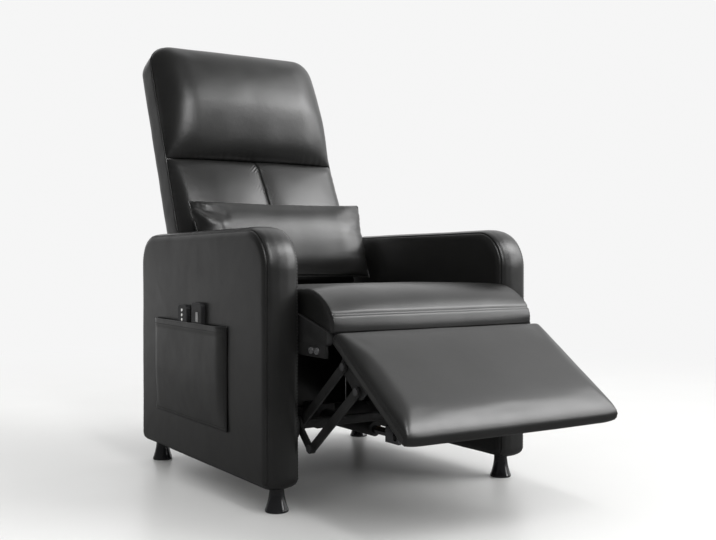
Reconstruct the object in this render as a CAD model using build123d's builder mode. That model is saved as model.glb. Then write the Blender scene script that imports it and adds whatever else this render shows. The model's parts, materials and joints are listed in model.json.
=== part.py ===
from build123d import *
import math
import os

os.makedirs("parts", exist_ok=True)

# Power recliner, in millimetres. The floor is Z 0, the sitter faces -Y, so the sitter's right is -X.
# It stands as photographed: backrest part reclined, footrest part open.

# Arms and feet
arm_span = 666.0  # outside to outside
arm_thick = 78.0
arm_depth = 668.0
arm_top = 562.0
arm_front_y = -272.5
arm_rear_drop = 9.0  # the top falls gently to the rear
arm_edge_round = 15.0
arm_front_round = 84.0
arm_rear_round = 72.0
arm_foot_round = 20.0
arm_padding = 14.0
foot_height = 51.0
foot_radius = 23.5
foot_neck_radius = 14.5
foot_stud_radius = 4.0
foot_inset = 44.0  # from the outer face of the arm to the axis of its feet
foot_front_inset = 39.0
foot_rear_inset = 30.0

# Side pocket and handsets
pocket_front_inset = 167.0
pocket_rear_inset = 112.0
pocket_foot_z = 141.0
pocket_top_z = 358.0
pocket_depth = 12.0
pocket_wall = 2.5
pocket_shelf_z = 246.0
handset_thick = 11.0
handset_round = 9.0
keypad_place = 214.0  # along the pocket from its front edge
keypad_width = 50.0
keypad_brow = 11.8  # from the top key's middle to the top of the case, less the key's own gap
key_radius = 3.2
key_pitch = 10.5
key_travel = 0.8
control_place = 136.5
control_width = 52.0
control_top_z = 403.0
rocker_width = 11.0
rocker_height = 21.0

# Seat box
seat_board = 12.0
seat_deck_z = 390.0
seat_board_foot_z = 335.0
seat_overhang = 112.0  # how far the cushion reaches past the arms
seat_rear_gap = 64.5  # to the backrest pivot
seat_lip_z = 357.0
seat_seam_z = 397.0
seat_crest_z = 447.0
seat_crest_inset = 122.5  # from the front of the cushion to its highest line
seat_rear_z = 421.0
seat_side_gap = 7.0
seat_sink = 14.0  # how far the crowned top falls at the sides
seat_tuck = 5.0
rail_height = 24.0
rail_thick = 6.0
batten = 15.0
webbing_thick = 1.5
webbing_width = 55.0
webbing_count = 6

# Backrest, measured from its pivot: up along the back, then forward from its middle plane
hinge_inset = 61.0  # from the rear of the arms
hinge_z = 385.0
back_lean = 22.0
recline_min = -8.0
recline_max = 33.0
back_side_gap = 11.0
back_foot = 18.0
back_flap = 20.0  # the rear skin hangs below the pivot to close the gap over the rear panel
back_seam = 383.0
back_top = 717.0
back_corner = 58.0
back_rear = -43.0
back_welt = 29.0
back_wall = 12.0
back_skin = 10.0
back_panel_thick = 22.0
head_puff = 72.0
lumbar_puff = 68.0
tube_radius = 10.0
back_crank = 60.0

# Lumbar pillow, measured like the backrest
pillow_foot = 15.0
pillow_top = 223.0
pillow_seam = 121.0
pillow_front = 168.0
pillow_side_gap = 8.0
pillow_settle = 0.5  # how far its rounded rear sits in between the two halves of the lower cushion

# Footrest pad, measured along its top from the edge near the seat, then out from its top face
pad_gap = 21.8  # from the front of the seat cushion
pad_z = 363.7
pad_slope = 34.5
pad_length = 280.0
pad_edge = 36.0
pad_crown = 9.0
pad_pinch = 13.0
pad_side_gap = 8.0
board_thick = 10.0

# Footrest linkage, a parallelogram on each side
shaft_inset = 43.0  # from the front of the arms
shaft_z = 167.0
shaft_radius = 10.0
swing_length = 208.5
swing_angle = 141.4
crank_length = 62.0
crank_angle = 222.0
open_turn = 24.0
close_turn = 55.5
link_width = 18.0
link_eye = 5.0  # steel left round each pivot hole
link_thick = 5.0
link_gap = 0.5
pin_radius = 5.0
run_clear = 0.05
seat_clear = 0.02
plate_thick = 6.0
drive_crank = 50.0
drive_lag = 1.5  # how far the driven pin leads or trails the rod within its slot

# Actuators
rod_radius = 9.0
barrel_radius = 16.0
gear_half = 24.0
gear_length = 70.0
motor_radius = 23.0
motor_length = 105.0
foot_case_gap = 289.5  # from the cross shaft back to the gear case
foot_barrel_gap = 79.5
foot_rod_length = 180.0
back_case_gap = 414.5  # from the backrest pivot forward to the gear case
back_barrel_length = 225.0
back_rod_length = 175.0
bar_size = 25.0
bar_wall = 2.0

# Derived places
outer_x = arm_span / 2
inner_x = outer_x - arm_thick
arm_rear_y = arm_front_y + arm_depth
foot_x = outer_x - foot_inset
foot_rows = (arm_front_y + foot_front_inset, arm_rear_y - foot_rear_inset)
pocket_front_y = arm_front_y + pocket_front_inset
pocket_rear_y = arm_rear_y - pocket_rear_inset
keypad_y = pocket_front_y + keypad_place
keypad_top_z = pocket_top_z + key_radius + 2 * key_pitch + keypad_brow
control_y = pocket_front_y + control_place
hinge_y = arm_rear_y - hinge_inset
seat_front_y = arm_front_y - seat_overhang
seat_rear_y = hinge_y - seat_rear_gap
seat_crest_y = seat_front_y + seat_crest_inset
pad_y = seat_front_y - pad_gap
shaft_y = arm_front_y + shaft_inset
back_half_width = inner_x - back_side_gap
pillow_half_width = inner_x - pillow_side_gap
pad_half_width = inner_x - pad_side_gap
sides = (("right", -1), ("left", 1))
link_x = inner_x - 20.5  # outer face of the swing and push links
crank_x = link_x + link_gap + link_thick
bracket_x = link_x - link_thick - link_gap


def polar(length, degrees):
    return (length * math.cos(math.radians(degrees)), length * math.sin(math.radians(degrees)))


swing_step = polar(swing_length, swing_angle)
crank_step = polar(crank_length, crank_angle)
lift_pin = (shaft_y + swing_step[0], shaft_z + swing_step[1])
tilt_pin = (lift_pin[0] + crank_step[0], lift_pin[1] + crank_step[1])
elbow_pin = (shaft_y + crank_step[0], shaft_z + crank_step[1])
drive_rest = 270.0 - (close_turn - open_turn) / 2
drive_step = polar(drive_crank, drive_rest)
drive_pin = (shaft_y + drive_step[0], shaft_z + drive_step[1])
drive_axis_z = shaft_z - drive_crank * (1 + math.cos(math.radians((close_turn + open_turn) / 2))) / 2
back_rest = -90.0 + (recline_max + recline_min) / 2
back_step = polar(back_crank, back_rest)
back_pin = (hinge_y + back_step[0], hinge_z + back_step[1])
back_axis_z = hinge_z - back_crank * (1 + math.cos(math.radians((recline_max - recline_min) / 2))) / 2


def finish(builder, name):
    builder.part.label = name
    export_step(builder.part, f"parts/{name}.step")


def side_plane(x, y=0.0, z=0.0):
    return Plane(origin=(x, y, z), x_dir=(0, 1, 0), z_dir=(1, 0, 0))


def back_side(x):
    lean = math.radians(back_lean)
    up = (0, math.sin(lean), math.cos(lean))
    return Plane(origin=(x, hinge_y, hinge_z), x_dir=up, z_dir=(1, 0, 0))


def back_front(forward):
    lean = math.radians(back_lean)
    ahead = Vector(0, -math.cos(lean), math.sin(lean))
    return Plane(origin=Vector(0, hinge_y, hinge_z) + ahead * forward, x_dir=(1, 0, 0), z_dir=ahead)


def pad_side(x):
    slope = math.radians(pad_slope)
    along = (0, -math.cos(slope), -math.sin(slope))
    return Plane(origin=(x, pad_y, pad_z), x_dir=along, z_dir=(-1, 0, 0))


def on_pad(point):
    """Place of a pivot (y, z) as (along, out) of the footrest pad."""
    slope = math.radians(pad_slope)
    dy = point[0] - pad_y
    dz = point[1] - pad_z
    along = -dy * math.cos(slope) - dz * math.sin(slope)
    out = -dy * math.sin(slope) + dz * math.cos(slope)
    return (along, out)


def outline(plane, corners):
    """Closed profile on a plane; each corner is (across, up, rounding radius)."""
    count = len(corners)
    joints = []
    for i, (across, up, radius) in enumerate(corners):
        corner = Vector(across, up)
        before = (Vector(*corners[i - 1][:2]) - corner).normalized()
        after = (Vector(*corners[(i + 1) % count][:2]) - corner).normalized()
        half = math.radians(before.get_angle(after) / 2)
        reach = radius / math.tan(half)
        middle = corner + (before + after).normalized() * (radius / math.sin(half) - radius)
        joints.append((corner + before * reach, middle, corner + after * reach, radius))
    with BuildSketch(plane) as shape:
        with BuildLine():
            for i, (start, middle, end, radius) in enumerate(joints):
                if radius > 0:
                    ThreePointArc(start, middle, end)
                Line(end, joints[(i + 1) % count][0])
        make_face()
    return shape.sketch


def disc(plane, radius, hole=0.0):
    with BuildSketch(plane) as shape:
        Circle(radius)
        if hole > 0:
            Circle(hole, mode=Mode.SUBTRACT)
    return shape.sketch


def slab(x0, x1, y0, y1, z0, z1):
    """Flat rectangle at z0 with the height to extrude it to z1."""
    with BuildSketch(Plane.XY.offset(z0)) as shape:
        with Locations(((x0 + x1) / 2, (y0 + y1) / 2)):
            Rectangle(x1 - x0, y1 - y0)
    return shape.sketch, z1 - z0


def add_box(x0, x1, y0, y1, z0, z1, mode=Mode.ADD):
    shape, height = slab(x0, x1, y0, y1, z0, z1)
    extrude(to_extrude=shape, amount=height, mode=mode)


def swell(share, power):
    """Fullness of a stuffed piece, 1 in the middle falling to 0 at its edge."""
    return (1 - min(1.0, abs(share)) ** power) ** (1 / power)


half_shares = (1.0, 0.99, 0.965, 0.92, 0.84, 0.7, 0.48, 0.2)
cushion_shares = half_shares + tuple(-share for share in reversed(half_shares))


def span(sign, near, far):
    """Ordered x limits of a piece between two distances from the middle."""
    return (near, far) if sign > 0 else (-far, -near)


def link_bar(x, thick, start, end, width, start_hole, end_hole):
    """Slim bar between two pivots given as (y, z), with an eye round the hole at each."""
    dy = end[0] - start[0]
    dz = end[1] - start[1]
    length = math.hypot(dy, dz)
    middle = ((start[0] + end[0]) / 2, (start[1] + end[1]) / 2)
    lie = Plane(origin=(x, *middle), x_dir=(0, dy / length, dz / length), z_dir=(1, 0, 0))
    with BuildPart() as bar:
        with BuildSketch(lie):
            Rectangle(length, width)
            with Locations((-length / 2, 0)):
                Circle(start_hole + link_eye)
                Circle(start_hole, mode=Mode.SUBTRACT)
            with Locations((length / 2, 0)):
                Circle(end_hole + link_eye)
                Circle(end_hole, mode=Mode.SUBTRACT)
        extrude(amount=thick)
    return bar


# Arms: a padded cover pulled over a plywood frame, open underneath for the feet
def arm_outline(x):
    return outline(
        side_plane(x),
        (
            (arm_front_y, foot_height, arm_foot_round),
            (arm_rear_y, foot_height, arm_foot_round),
            (arm_rear_y, arm_top - arm_rear_drop, arm_rear_round),
            (arm_front_y, arm_top, arm_front_round),
        ),
    )


def frame_outline(x):
    inset = arm_padding
    return outline(
        side_plane(x),
        (
            (arm_front_y + inset, foot_height, arm_foot_round - inset + 1),
            (arm_rear_y - inset, foot_height, arm_foot_round - inset + 1),
            (arm_rear_y - inset, arm_top - arm_rear_drop - inset, arm_rear_round - inset),
            (arm_front_y + inset, arm_top - inset, arm_front_round - inset),
        ),
    )


frame_thick = arm_thick - 2 * arm_padding
window_web = 22.0
frame_rim = 15.0
window_columns = 5
window_rows = 3
window_pitch_y = (arm_depth - 2 * arm_padding - 2 * frame_rim) / window_columns
window_pitch_z = (arm_top - arm_padding - foot_height - 100) / window_rows
window_round = 12.0
nut_radius = 5.5
nut_flange = 8.0
nut_height = 20.0
nut_rim = 2.5
for side, sign in sides:
    cover_x = span(sign, inner_x, outer_x)
    frame_x = span(sign, inner_x + arm_padding, outer_x - arm_padding)
    with BuildPart() as arm_cover:
        extrude(to_extrude=arm_outline(cover_x[0]), amount=arm_thick)
        rims = arm_cover.faces().filter_by(Axis.X).edges()
        fillet(rims, arm_edge_round)
        extrude(to_extrude=frame_outline(frame_x[0]), amount=frame_thick, mode=Mode.SUBTRACT)
    finish(arm_cover, f"{side}_arm_cover")

    with BuildPart() as arm_frame:
        extrude(to_extrude=frame_outline(frame_x[0]), amount=frame_thick)
        middle_y = (arm_front_y + arm_rear_y) / 2
        middle_z = (foot_height + arm_top - arm_padding) / 2 - window_round / 2
        with BuildSketch(side_plane(frame_x[0], middle_y, middle_z)):
            with GridLocations(window_pitch_y, window_pitch_z, window_columns, window_rows):
                RectangleRounded(window_pitch_y - window_web, window_pitch_z - 1.5 * window_web, window_round)
        extrude(amount=frame_thick, mode=Mode.SUBTRACT)
        for row in foot_rows:
            under = Plane.XY.offset(foot_height).shift_origin((sign * foot_x, row, foot_height))
            extrude(to_extrude=disc(under, nut_radius + seat_clear), amount=nut_height, mode=Mode.SUBTRACT)
            extrude(to_extrude=disc(under, nut_flange + seat_clear), amount=nut_rim, mode=Mode.SUBTRACT)
    finish(arm_frame, f"{side}_arm_frame")

# Feet: flared turned feet, each on a stud
with BuildPart() as foot_nuts:
    for side, sign in sides:
        for row in foot_rows:
            under = Plane.XY.offset(foot_height).shift_origin((sign * foot_x, row, foot_height))
            bore = foot_stud_radius + run_clear
            extrude(to_extrude=disc(under, nut_flange, bore), amount=nut_rim)
            extrude(to_extrude=disc(under, nut_radius, bore), amount=nut_height)
finish(foot_nuts, "foot_nuts")

for side, sign in sides:
    for place, row in zip(("front", "rear"), foot_rows):
        centre = (sign * foot_x, row, 0)
        with BuildPart() as foot:
            with BuildSketch(Plane(origin=centre, x_dir=(1, 0, 0), z_dir=(0, -1, 0))):
                with BuildLine():
                    Polyline((0, 0), (foot_radius - 1, 0), (foot_radius, 1), (foot_radius, 4))
                    waist = (foot_neck_radius + 0.34 * (foot_radius - foot_neck_radius), foot_height * 0.45)
                    ThreePointArc((foot_radius, 4), waist, (foot_neck_radius, foot_height))
                    stud_top = foot_height + nut_height - 2
                    Polyline(
                        (foot_neck_radius, foot_height),
                        (foot_stud_radius, foot_height),
                        (foot_stud_radius, stud_top),
                        (0, stud_top),
                        (0, 0),
                    )
                make_face()
            revolve(axis=Axis(centre, (0, 0, 1)))
        finish(foot, f"{side}_{place}_foot")

# Rear: padded panel between the arms and the low timber rail behind it
panel_thick = 16.0
panel_top = 352.0
inlet_place = (-150.0, 112.0)
inlet_barrel = 7.0
inlet_bore = 2.75
inlet_depth = 12.0
with BuildPart() as rear_panel:
    add_box(-inner_x, inner_x, arm_rear_y - panel_thick, arm_rear_y, foot_height, panel_top)
    rear_rims = rear_panel.faces().sort_by(Axis.Y)[-1].edges().filter_by(Axis.X)
    fillet(rear_rims, 5)
    inlet_origin = (inlet_place[0], arm_rear_y, inlet_place[1])
    inlet_plane = Plane(origin=inlet_origin, x_dir=(1, 0, 0), z_dir=(0, -1, 0))
    extrude(to_extrude=disc(inlet_plane, inlet_barrel + seat_clear), amount=inlet_depth, mode=Mode.SUBTRACT)
finish(rear_panel, "rear_panel")

with BuildPart() as power_inlet:
    extrude(to_extrude=disc(inlet_plane, inlet_barrel), amount=inlet_depth)
    extrude(to_extrude=disc(inlet_plane, inlet_barrel + 3), amount=-2.5)
    mouth = inlet_plane.offset(-2.5)
    extrude(to_extrude=disc(mouth, inlet_bore), amount=inlet_depth, mode=Mode.SUBTRACT)
finish(power_inlet, "power_inlet")

low_rail_thick = 24.0
low_rail_height = 32.0
low_rail_y = arm_rear_y - panel_thick
low_rail_z = foot_height + low_rail_height
with BuildPart() as rear_rail:
    add_box(-inner_x, inner_x, low_rail_y - low_rail_thick, low_rail_y, foot_height, low_rail_z)
finish(rear_rail, "rear_rail")

# Seat box: side boards on the arms, a front batten, a rear board, webbing and the side rails
box_front_y = seat_front_y + 16
slope_start_y = seat_crest_y + 8
for side, sign in sides:
    board_x = span(sign, inner_x - seat_board, inner_x)
    with BuildPart() as seat_side:
        profile = outline(
            side_plane(board_x[0]),
            (
                (box_front_y, seat_board_foot_z, 6),
                (seat_rear_y, seat_board_foot_z, 0),
                (seat_rear_y, seat_deck_z, 0),
                (slope_start_y, seat_deck_z, 0),
                (box_front_y, seat_lip_z + 4, 0),
            ),
        )
        extrude(to_extrude=profile, amount=seat_board)
    finish(seat_side, f"{side}_seat_board")

    rail_x = span(sign, inner_x - rail_thick, inner_x)
    rail_foot_z = seat_board_foot_z - rail_height
    bolt_rows = (seat_front_y + 49.5, seat_front_y + 70.5)
    with BuildPart() as seat_rail:
        add_box(rail_x[0], rail_x[1], box_front_y + 4, seat_rear_y - 60, rail_foot_z, seat_board_foot_z)
        for row in bolt_rows:
            seat_hole = disc(side_plane(rail_x[0], row, rail_foot_z + rail_height / 2), 4 + seat_clear)
            extrude(to_extrude=seat_hole, amount=rail_thick, mode=Mode.SUBTRACT)
    finish(seat_rail, f"{side}_seat_rail")

deck_under_z = seat_deck_z - webbing_thick
board_inner_x = inner_x - seat_board
with BuildPart() as front_batten:
    batten_y = box_front_y + 8
    batten_z = seat_lip_z - 10
    add_box(-board_inner_x, board_inner_x, batten_y, batten_y + batten, batten_z, batten_z + batten)
finish(front_batten, "seat_front_batten")

with BuildPart() as rear_board:
    rear_board_y = seat_rear_y - 1.5 * seat_board
    rear_board_z = seat_board_foot_z + 1.5 * seat_board
    add_box(-board_inner_x, board_inner_x, rear_board_y, seat_rear_y, rear_board_z, deck_under_z)
finish(rear_board, "seat_rear_board")

web_start = slope_start_y + 40
web_step = (seat_rear_y - webbing_width / 2 - web_start) / (webbing_count - 1)
with BuildPart() as seat_webbing:
    for i in range(webbing_count):
        row = web_start + i * web_step
        half = webbing_width / 2
        add_box(-board_inner_x, board_inner_x, row - half, row + half, deck_under_z, seat_deck_z)
finish(seat_webbing, "seat_webbing")


# Seat cushion: crowned across, rolled over the front edge of the box
def seat_section(x, sink, tuck):
    with BuildSketch(side_plane(x)) as section:
        front = seat_front_y + tuck
        lip = (front + 5, seat_lip_z + tuck * 0.4)
        seam = (front, seat_seam_z - sink * 0.3)
        crest = (seat_crest_y, seat_crest_z - sink)
        rear = (seat_rear_y - tuck * 0.5, seat_rear_z - sink)
        turn = (front + 32, seat_seam_z + 32 - sink * 0.8)
        hollow = ((crest[0] + rear[0]) / 2, (crest[1] + rear[1]) / 2 + 4)
        with BuildLine():
            Line((seat_rear_y - tuck * 0.5, seat_deck_z), (slope_start_y, seat_deck_z))
            Line((slope_start_y, seat_deck_z), (box_front_y, seat_lip_z + 4))
            Line((box_front_y, seat_lip_z + 4), lip)
            ThreePointArc(lip, (front - 2, (lip[1] + seam[1]) / 2), seam)
            ThreePointArc(seam, turn, crest)
            ThreePointArc(crest, hollow, rear)
            Line(rear, (seat_rear_y - tuck * 0.5, seat_deck_z))
        make_face()
    return section.sketch


seat_half = inner_x - seat_side_gap
with BuildPart() as seat_cushion:
    empty = [(share, 1 - swell(share, 3)) for share in cushion_shares]
    ribs = [seat_section(seat_half * share, seat_sink * void, seat_tuck * void) for share, void in empty]
    loft(sections=ribs, ruled=True)
finish(seat_cushion, "seat_cushion")

# Plates on the inner faces of the arms for the cross shaft and for the backrest pivot
plate_bolts = []
with BuildPart() as shaft_plates:
    for side, sign in sides:
        plate_x = span(sign, inner_x - plate_thick, inner_x)
        profile = outline(
            side_plane(plate_x[0]),
            (
                (shaft_y - 24, shaft_z - 24, 10),
                (shaft_y + 92, shaft_z - 24, 10),
                (shaft_y + 92, shaft_z + 26, 10),
                (shaft_y - 24, shaft_z + 26, 20),
            ),
        )
        extrude(to_extrude=profile, amount=plate_thick)
        shaft_hole = disc(side_plane(plate_x[0], shaft_y, shaft_z), shaft_radius + run_clear)
        extrude(to_extrude=shaft_hole, amount=plate_thick, mode=Mode.SUBTRACT)
        for shift in (46, 74):
            plate_bolts.append((sign, shaft_y + shift, shaft_z))
            bolt_hole = disc(side_plane(plate_x[0], shaft_y + shift, shaft_z), 4 + seat_clear)
            extrude(to_extrude=bolt_hole, amount=plate_thick, mode=Mode.SUBTRACT)
finish(shaft_plates, "shaft_plates")

with BuildPart() as hinge_plates:
    for side, sign in sides:
        plate_x = span(sign, inner_x - plate_thick, inner_x)
        profile = outline(
            side_plane(plate_x[0]),
            (
                (hinge_y - 26, hinge_z - 96, 10),
                (hinge_y + 26, hinge_z - 96, 10),
                (hinge_y + 20, hinge_z + 20, 16),
                (hinge_y - 20, hinge_z + 20, 16),
            ),
        )
        extrude(to_extrude=profile, amount=plate_thick)
        tube_hole = disc(side_plane(plate_x[0], hinge_y, hinge_z), tube_radius + run_clear)
        extrude(to_extrude=tube_hole, amount=plate_thick, mode=Mode.SUBTRACT)
        for shift in (-44, -76):
            plate_bolts.append((sign, hinge_y, hinge_z + shift))
            bolt_hole = disc(side_plane(plate_x[0], hinge_y, hinge_z + shift), 4 + seat_clear)
            extrude(to_extrude=bolt_hole, amount=plate_thick, mode=Mode.SUBTRACT)
finish(hinge_plates, "hinge_plates")

bolt_head = 6.5
bolt_cap = 4.0
with BuildPart() as mechanism_bolts:
    for sign, row, height in plate_bolts:
        inner_face = side_plane(sign * (inner_x - plate_thick), row, height)
        extrude(to_extrude=disc(inner_face, bolt_head), amount=-sign * bolt_cap)
        extrude(to_extrude=disc(inner_face, 4), amount=sign * plate_thick)
    for side, sign in sides:
        for row in bolt_rows:
            outer_face = side_plane(sign * inner_x, row, rail_foot_z + rail_height / 2)
            extrude(to_extrude=disc(outer_face, bolt_head), amount=sign * bolt_cap)
            extrude(to_extrude=disc(outer_face, 4), amount=-sign * rail_thick)
finish(mechanism_bolts, "mechanism_bolts")

# Footrest linkage: cross shaft with drive lug, cranks, swing links and push links
shaft_end = inner_x - 2
lug_half = 4.0
with BuildPart() as cross_shaft:
    extrude(to_extrude=disc(side_plane(-shaft_end, shaft_y, shaft_z), shaft_radius), amount=2 * shaft_end)
    middle = ((shaft_y + drive_pin[0]) / 2, (shaft_z + drive_pin[1]) / 2)
    lug_dir = (0, drive_step[0] / drive_crank, drive_step[1] / drive_crank)
    with BuildSketch(Plane(origin=(-lug_half, *middle), x_dir=lug_dir, z_dir=(1, 0, 0))):
        SlotCenterToCenter(drive_crank, 20)
    extrude(amount=2 * lug_half)
    extrude(to_extrude=disc(side_plane(-13, *drive_pin), pin_radius), amount=26)
finish(cross_shaft, "cross_shaft")

shaft = (shaft_y, shaft_z)
with BuildPart() as elbow_pins:
    for side, sign in sides:
        head = side_plane(sign * crank_x, *elbow_pin)
        extrude(to_extrude=disc(head, pin_radius + 2.5), amount=sign * 2.5)
        extrude(to_extrude=disc(head, pin_radius), amount=-sign * (2 * link_thick + link_gap + 2))
finish(elbow_pins, "elbow_pins")

for side, sign in sides:
    crank_low = span(sign, crank_x - link_thick, crank_x)[0]
    link_low = span(sign, link_x - link_thick, link_x)[0]
    crank_holes = (shaft_radius + seat_clear, pin_radius + seat_clear)
    crank = link_bar(crank_low, link_thick, shaft, elbow_pin, link_width, *crank_holes)
    finish(crank, f"{side}_crank")
    swing_holes = (shaft_radius + run_clear, pin_radius + run_clear)
    swing = link_bar(link_low, link_thick, shaft, lift_pin, link_width, *swing_holes)
    finish(swing, f"{side}_swing_link")
    push_hole = pin_radius + run_clear
    push = link_bar(link_low, link_thick, elbow_pin, tilt_pin, link_width, push_hole, push_hole)
    finish(push, f"{side}_push_link")


# Footrest: upholstered pad round a plywood board, on a steel bracket at each side
def pad_section(x, pinch):
    foot = -pad_edge + pinch * 0.35
    top = -pinch * 0.65
    crown = pad_crown * (1 - 0.8 * pinch / pad_pinch)
    near = pinch * 0.5
    far = pad_length - 8 - pinch * 0.5
    with BuildSketch(pad_side(x)) as section:
        with BuildLine():
            Line((near, foot), (far, foot))
            ThreePointArc((far, foot), (far + 9, (foot + top) / 2), (far - 2, top))
            ThreePointArc((far - 2, top), ((near + far) / 2, top + crown), (near + 2, top))
            ThreePointArc((near + 2, top), (near - 9, (foot + top) / 2), (near, foot))
        make_face()
    return section.sketch


board_start = 12.0
board_end = pad_length - 20
board_half = pad_half_width - 16
pad_foot = -pad_edge
with BuildPart() as footrest_pad:
    steps = [(share, pad_pinch * (1 - swell(share, 3))) for share in cushion_shares]
    loft(sections=[pad_section(pad_half_width * share, pinch) for share, pinch in steps], ruled=True)
    recess = outline(
        pad_side(board_half),
        (
            (board_start, pad_foot - 5, 0),
            (board_end, pad_foot - 5, 0),
            (board_end, pad_foot + board_thick, 0),
            (board_start, pad_foot + board_thick, 0),
        ),
    )
    extrude(to_extrude=recess, amount=2 * board_half, mode=Mode.SUBTRACT)
finish(footrest_pad, "footrest_pad")

with BuildPart() as footrest_board:
    profile = outline(
        pad_side(board_half),
        (
            (board_start, pad_foot, 0),
            (board_end, pad_foot, 0),
            (board_end, pad_foot + board_thick, 0),
            (board_start, pad_foot + board_thick, 0),
        ),
    )
    extrude(to_extrude=profile, amount=2 * board_half)
finish(footrest_board, "footrest_board")

lift_place = on_pad(lift_pin)
tilt_place = on_pad(tilt_pin)
flange = 34.0
flange_thick = 4.0
for side, sign in sides:
    web_x = span(sign, bracket_x - flange_thick, bracket_x)
    flange_x = span(sign, bracket_x - flange, bracket_x)
    with BuildPart() as bracket:
        web = outline(
            pad_side(web_x[1]),
            (
                (board_start - 8, pad_foot, 3),
                (tilt_place[0] + 26, pad_foot, 3),
                (tilt_place[0] + 14, tilt_place[1] - 13, 12),
                (lift_place[0] - 13, lift_place[1] - 13, 12),
            ),
        )
        extrude(to_extrude=web, amount=flange_thick)
        foot_flange = outline(
            pad_side(flange_x[1]),
            (
                (board_start - 4, pad_foot, 0),
                (tilt_place[0] + 20, pad_foot, 0),
                (tilt_place[0] + 20, pad_foot - flange_thick, 0),
                (board_start - 4, pad_foot - flange_thick, 0),
            ),
        )
        extrude(to_extrude=foot_flange, amount=flange)
        for pivot in (lift_pin, tilt_pin):
            pin_hole = disc(side_plane(web_x[0], *pivot), pin_radius + seat_clear)
            extrude(to_extrude=pin_hole, amount=flange_thick, mode=Mode.SUBTRACT)
    finish(bracket, f"{side}_footrest_bracket")

with BuildPart() as footrest_pins:
    for side, sign in sides:
        for pivot in (lift_pin, tilt_pin):
            head = side_plane(sign * (link_x + 0.3), *pivot)
            extrude(to_extrude=disc(head, pin_radius + 2.5), amount=sign * 2.5)
            shank = link_thick + link_gap + flange_thick + 2.3
            extrude(to_extrude=disc(head, pin_radius), amount=-sign * shank)
finish(footrest_pins, "footrest_pins")

# Actuators: gear case with motor, barrel, and a rod that ends in a slotted fork
fork_inner = lug_half + 0.7
fork_outer = 12.0
fork_wall = 6.0
fork_root = 36.0
slot_half = pin_radius + drive_lag
slot_rise = drive_crank * (1 - math.cos(math.radians((close_turn + open_turn) / 2))) / 2 + pin_radius + 1


def fork_rod(tip_y, axis_z, reach, direction, half_slot, half_rise):
    """Rod along Y from inside the barrel to a fork whose upright slot holds a pin at tip_y."""
    root_y = tip_y - direction * fork_root
    with BuildPart() as rod:
        front_y = tip_y + direction * (half_slot + fork_wall)
        low_y = min(root_y, front_y)
        high_y = max(root_y, front_y)
        top = half_rise + fork_wall
        add_box(-fork_outer, fork_outer, low_y, high_y, axis_z - top, axis_z + top)
        gap_low = min(tip_y - direction * (fork_root - 8), front_y)
        gap_high = max(tip_y - direction * (fork_root - 8), front_y)
        add_box(-fork_inner, fork_inner, gap_low, gap_high, axis_z - top, axis_z + top, Mode.SUBTRACT)
        slot = Plane(origin=(-fork_outer, tip_y, axis_z), x_dir=(0, 0, 1), z_dir=(1, 0, 0))
        with BuildSketch(slot):
            SlotOverall(2 * half_rise, 2 * half_slot)
        extrude(amount=2 * fork_outer, mode=Mode.SUBTRACT)
        axis_plane = Plane(origin=(0, root_y, axis_z), x_dir=(1, 0, 0), z_dir=(0, -direction, 0))
        extrude(to_extrude=disc(axis_plane, rod_radius), amount=reach)
    return rod


def actuator_barrel(start_y, end_y, axis_z, bore_y):
    """Outer tube from the gear case at start_y to its open end."""
    direction = 1 if end_y > start_y else -1
    with BuildPart() as barrel:
        case_plane = Plane(origin=(0, start_y, axis_z), x_dir=(1, 0, 0), z_dir=(0, direction, 0))
        extrude(to_extrude=disc(case_plane, barrel_radius), amount=abs(end_y - start_y))
        bore_plane = Plane(origin=(0, bore_y, axis_z), x_dir=(1, 0, 0), z_dir=(0, direction, 0))
        bore = disc(bore_plane, rod_radius + run_clear)
        extrude(to_extrude=bore, amount=abs(end_y - bore_y), mode=Mode.SUBTRACT)
    return barrel


def gear_motor(case_y, axis_z, sign):
    """Gear case with its motor lying across the chair on one side."""
    with BuildPart() as motor:
        case_half = gear_half + 4
        add_box(-gear_half, gear_half, case_y, case_y + gear_length, axis_z - case_half, axis_z + case_half)
        can = side_plane(sign * gear_half, case_y + gear_length / 2, axis_z)
        extrude(to_extrude=disc(can, motor_radius), amount=sign * motor_length)
        cap = side_plane(sign * (gear_half + motor_length), case_y + gear_length / 2, axis_z)
        extrude(to_extrude=disc(cap, motor_radius - 6), amount=sign * 6)
    return motor


def cross_bar(half, y, z):
    with BuildPart() as bar:
        add_box(-half, half, y, y + bar_size, z, z + bar_size)
        low = bar_wall
        high = bar_size - bar_wall
        add_box(-half, half, y + low, y + high, z + low, z + high, Mode.SUBTRACT)
    return bar


foot_case_y = shaft_y + foot_case_gap
foot_barrel_y = shaft_y + foot_barrel_gap
foot_rod = fork_rod(drive_pin[0], drive_axis_z, foot_rod_length, -1, slot_half, slot_rise)
finish(foot_rod, "footrest_rod")
finish(actuator_barrel(foot_case_y, foot_barrel_y, drive_axis_z, foot_case_y - 15), "footrest_barrel")
finish(gear_motor(foot_case_y, drive_axis_z, 1), "footrest_motor")
foot_bar_z = drive_axis_z - bar_size / 2
finish(cross_bar(inner_x, foot_case_y + gear_length, foot_bar_z), "base_bar")

back_case_y = hinge_y - back_case_gap
back_barrel_y = back_case_y + gear_length + back_barrel_length
back_rise = back_crank * (1 - math.cos(math.radians((recline_max - recline_min) / 2))) / 2 + pin_radius + 1
back_rod = fork_rod(back_pin[0], back_axis_z, back_rod_length, 1, pin_radius + 0.7, back_rise)
finish(back_rod, "back_rod")
back_bore_y = back_case_y + 2 * gear_length
finish(actuator_barrel(back_case_y + gear_length, back_barrel_y, back_axis_z, back_bore_y), "back_barrel")
finish(gear_motor(back_case_y, back_axis_z, -1), "back_motor")
finish(cross_bar(inner_x - rail_thick, back_case_y - bar_size, seat_board_foot_z - bar_size), "seat_bar")

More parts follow.
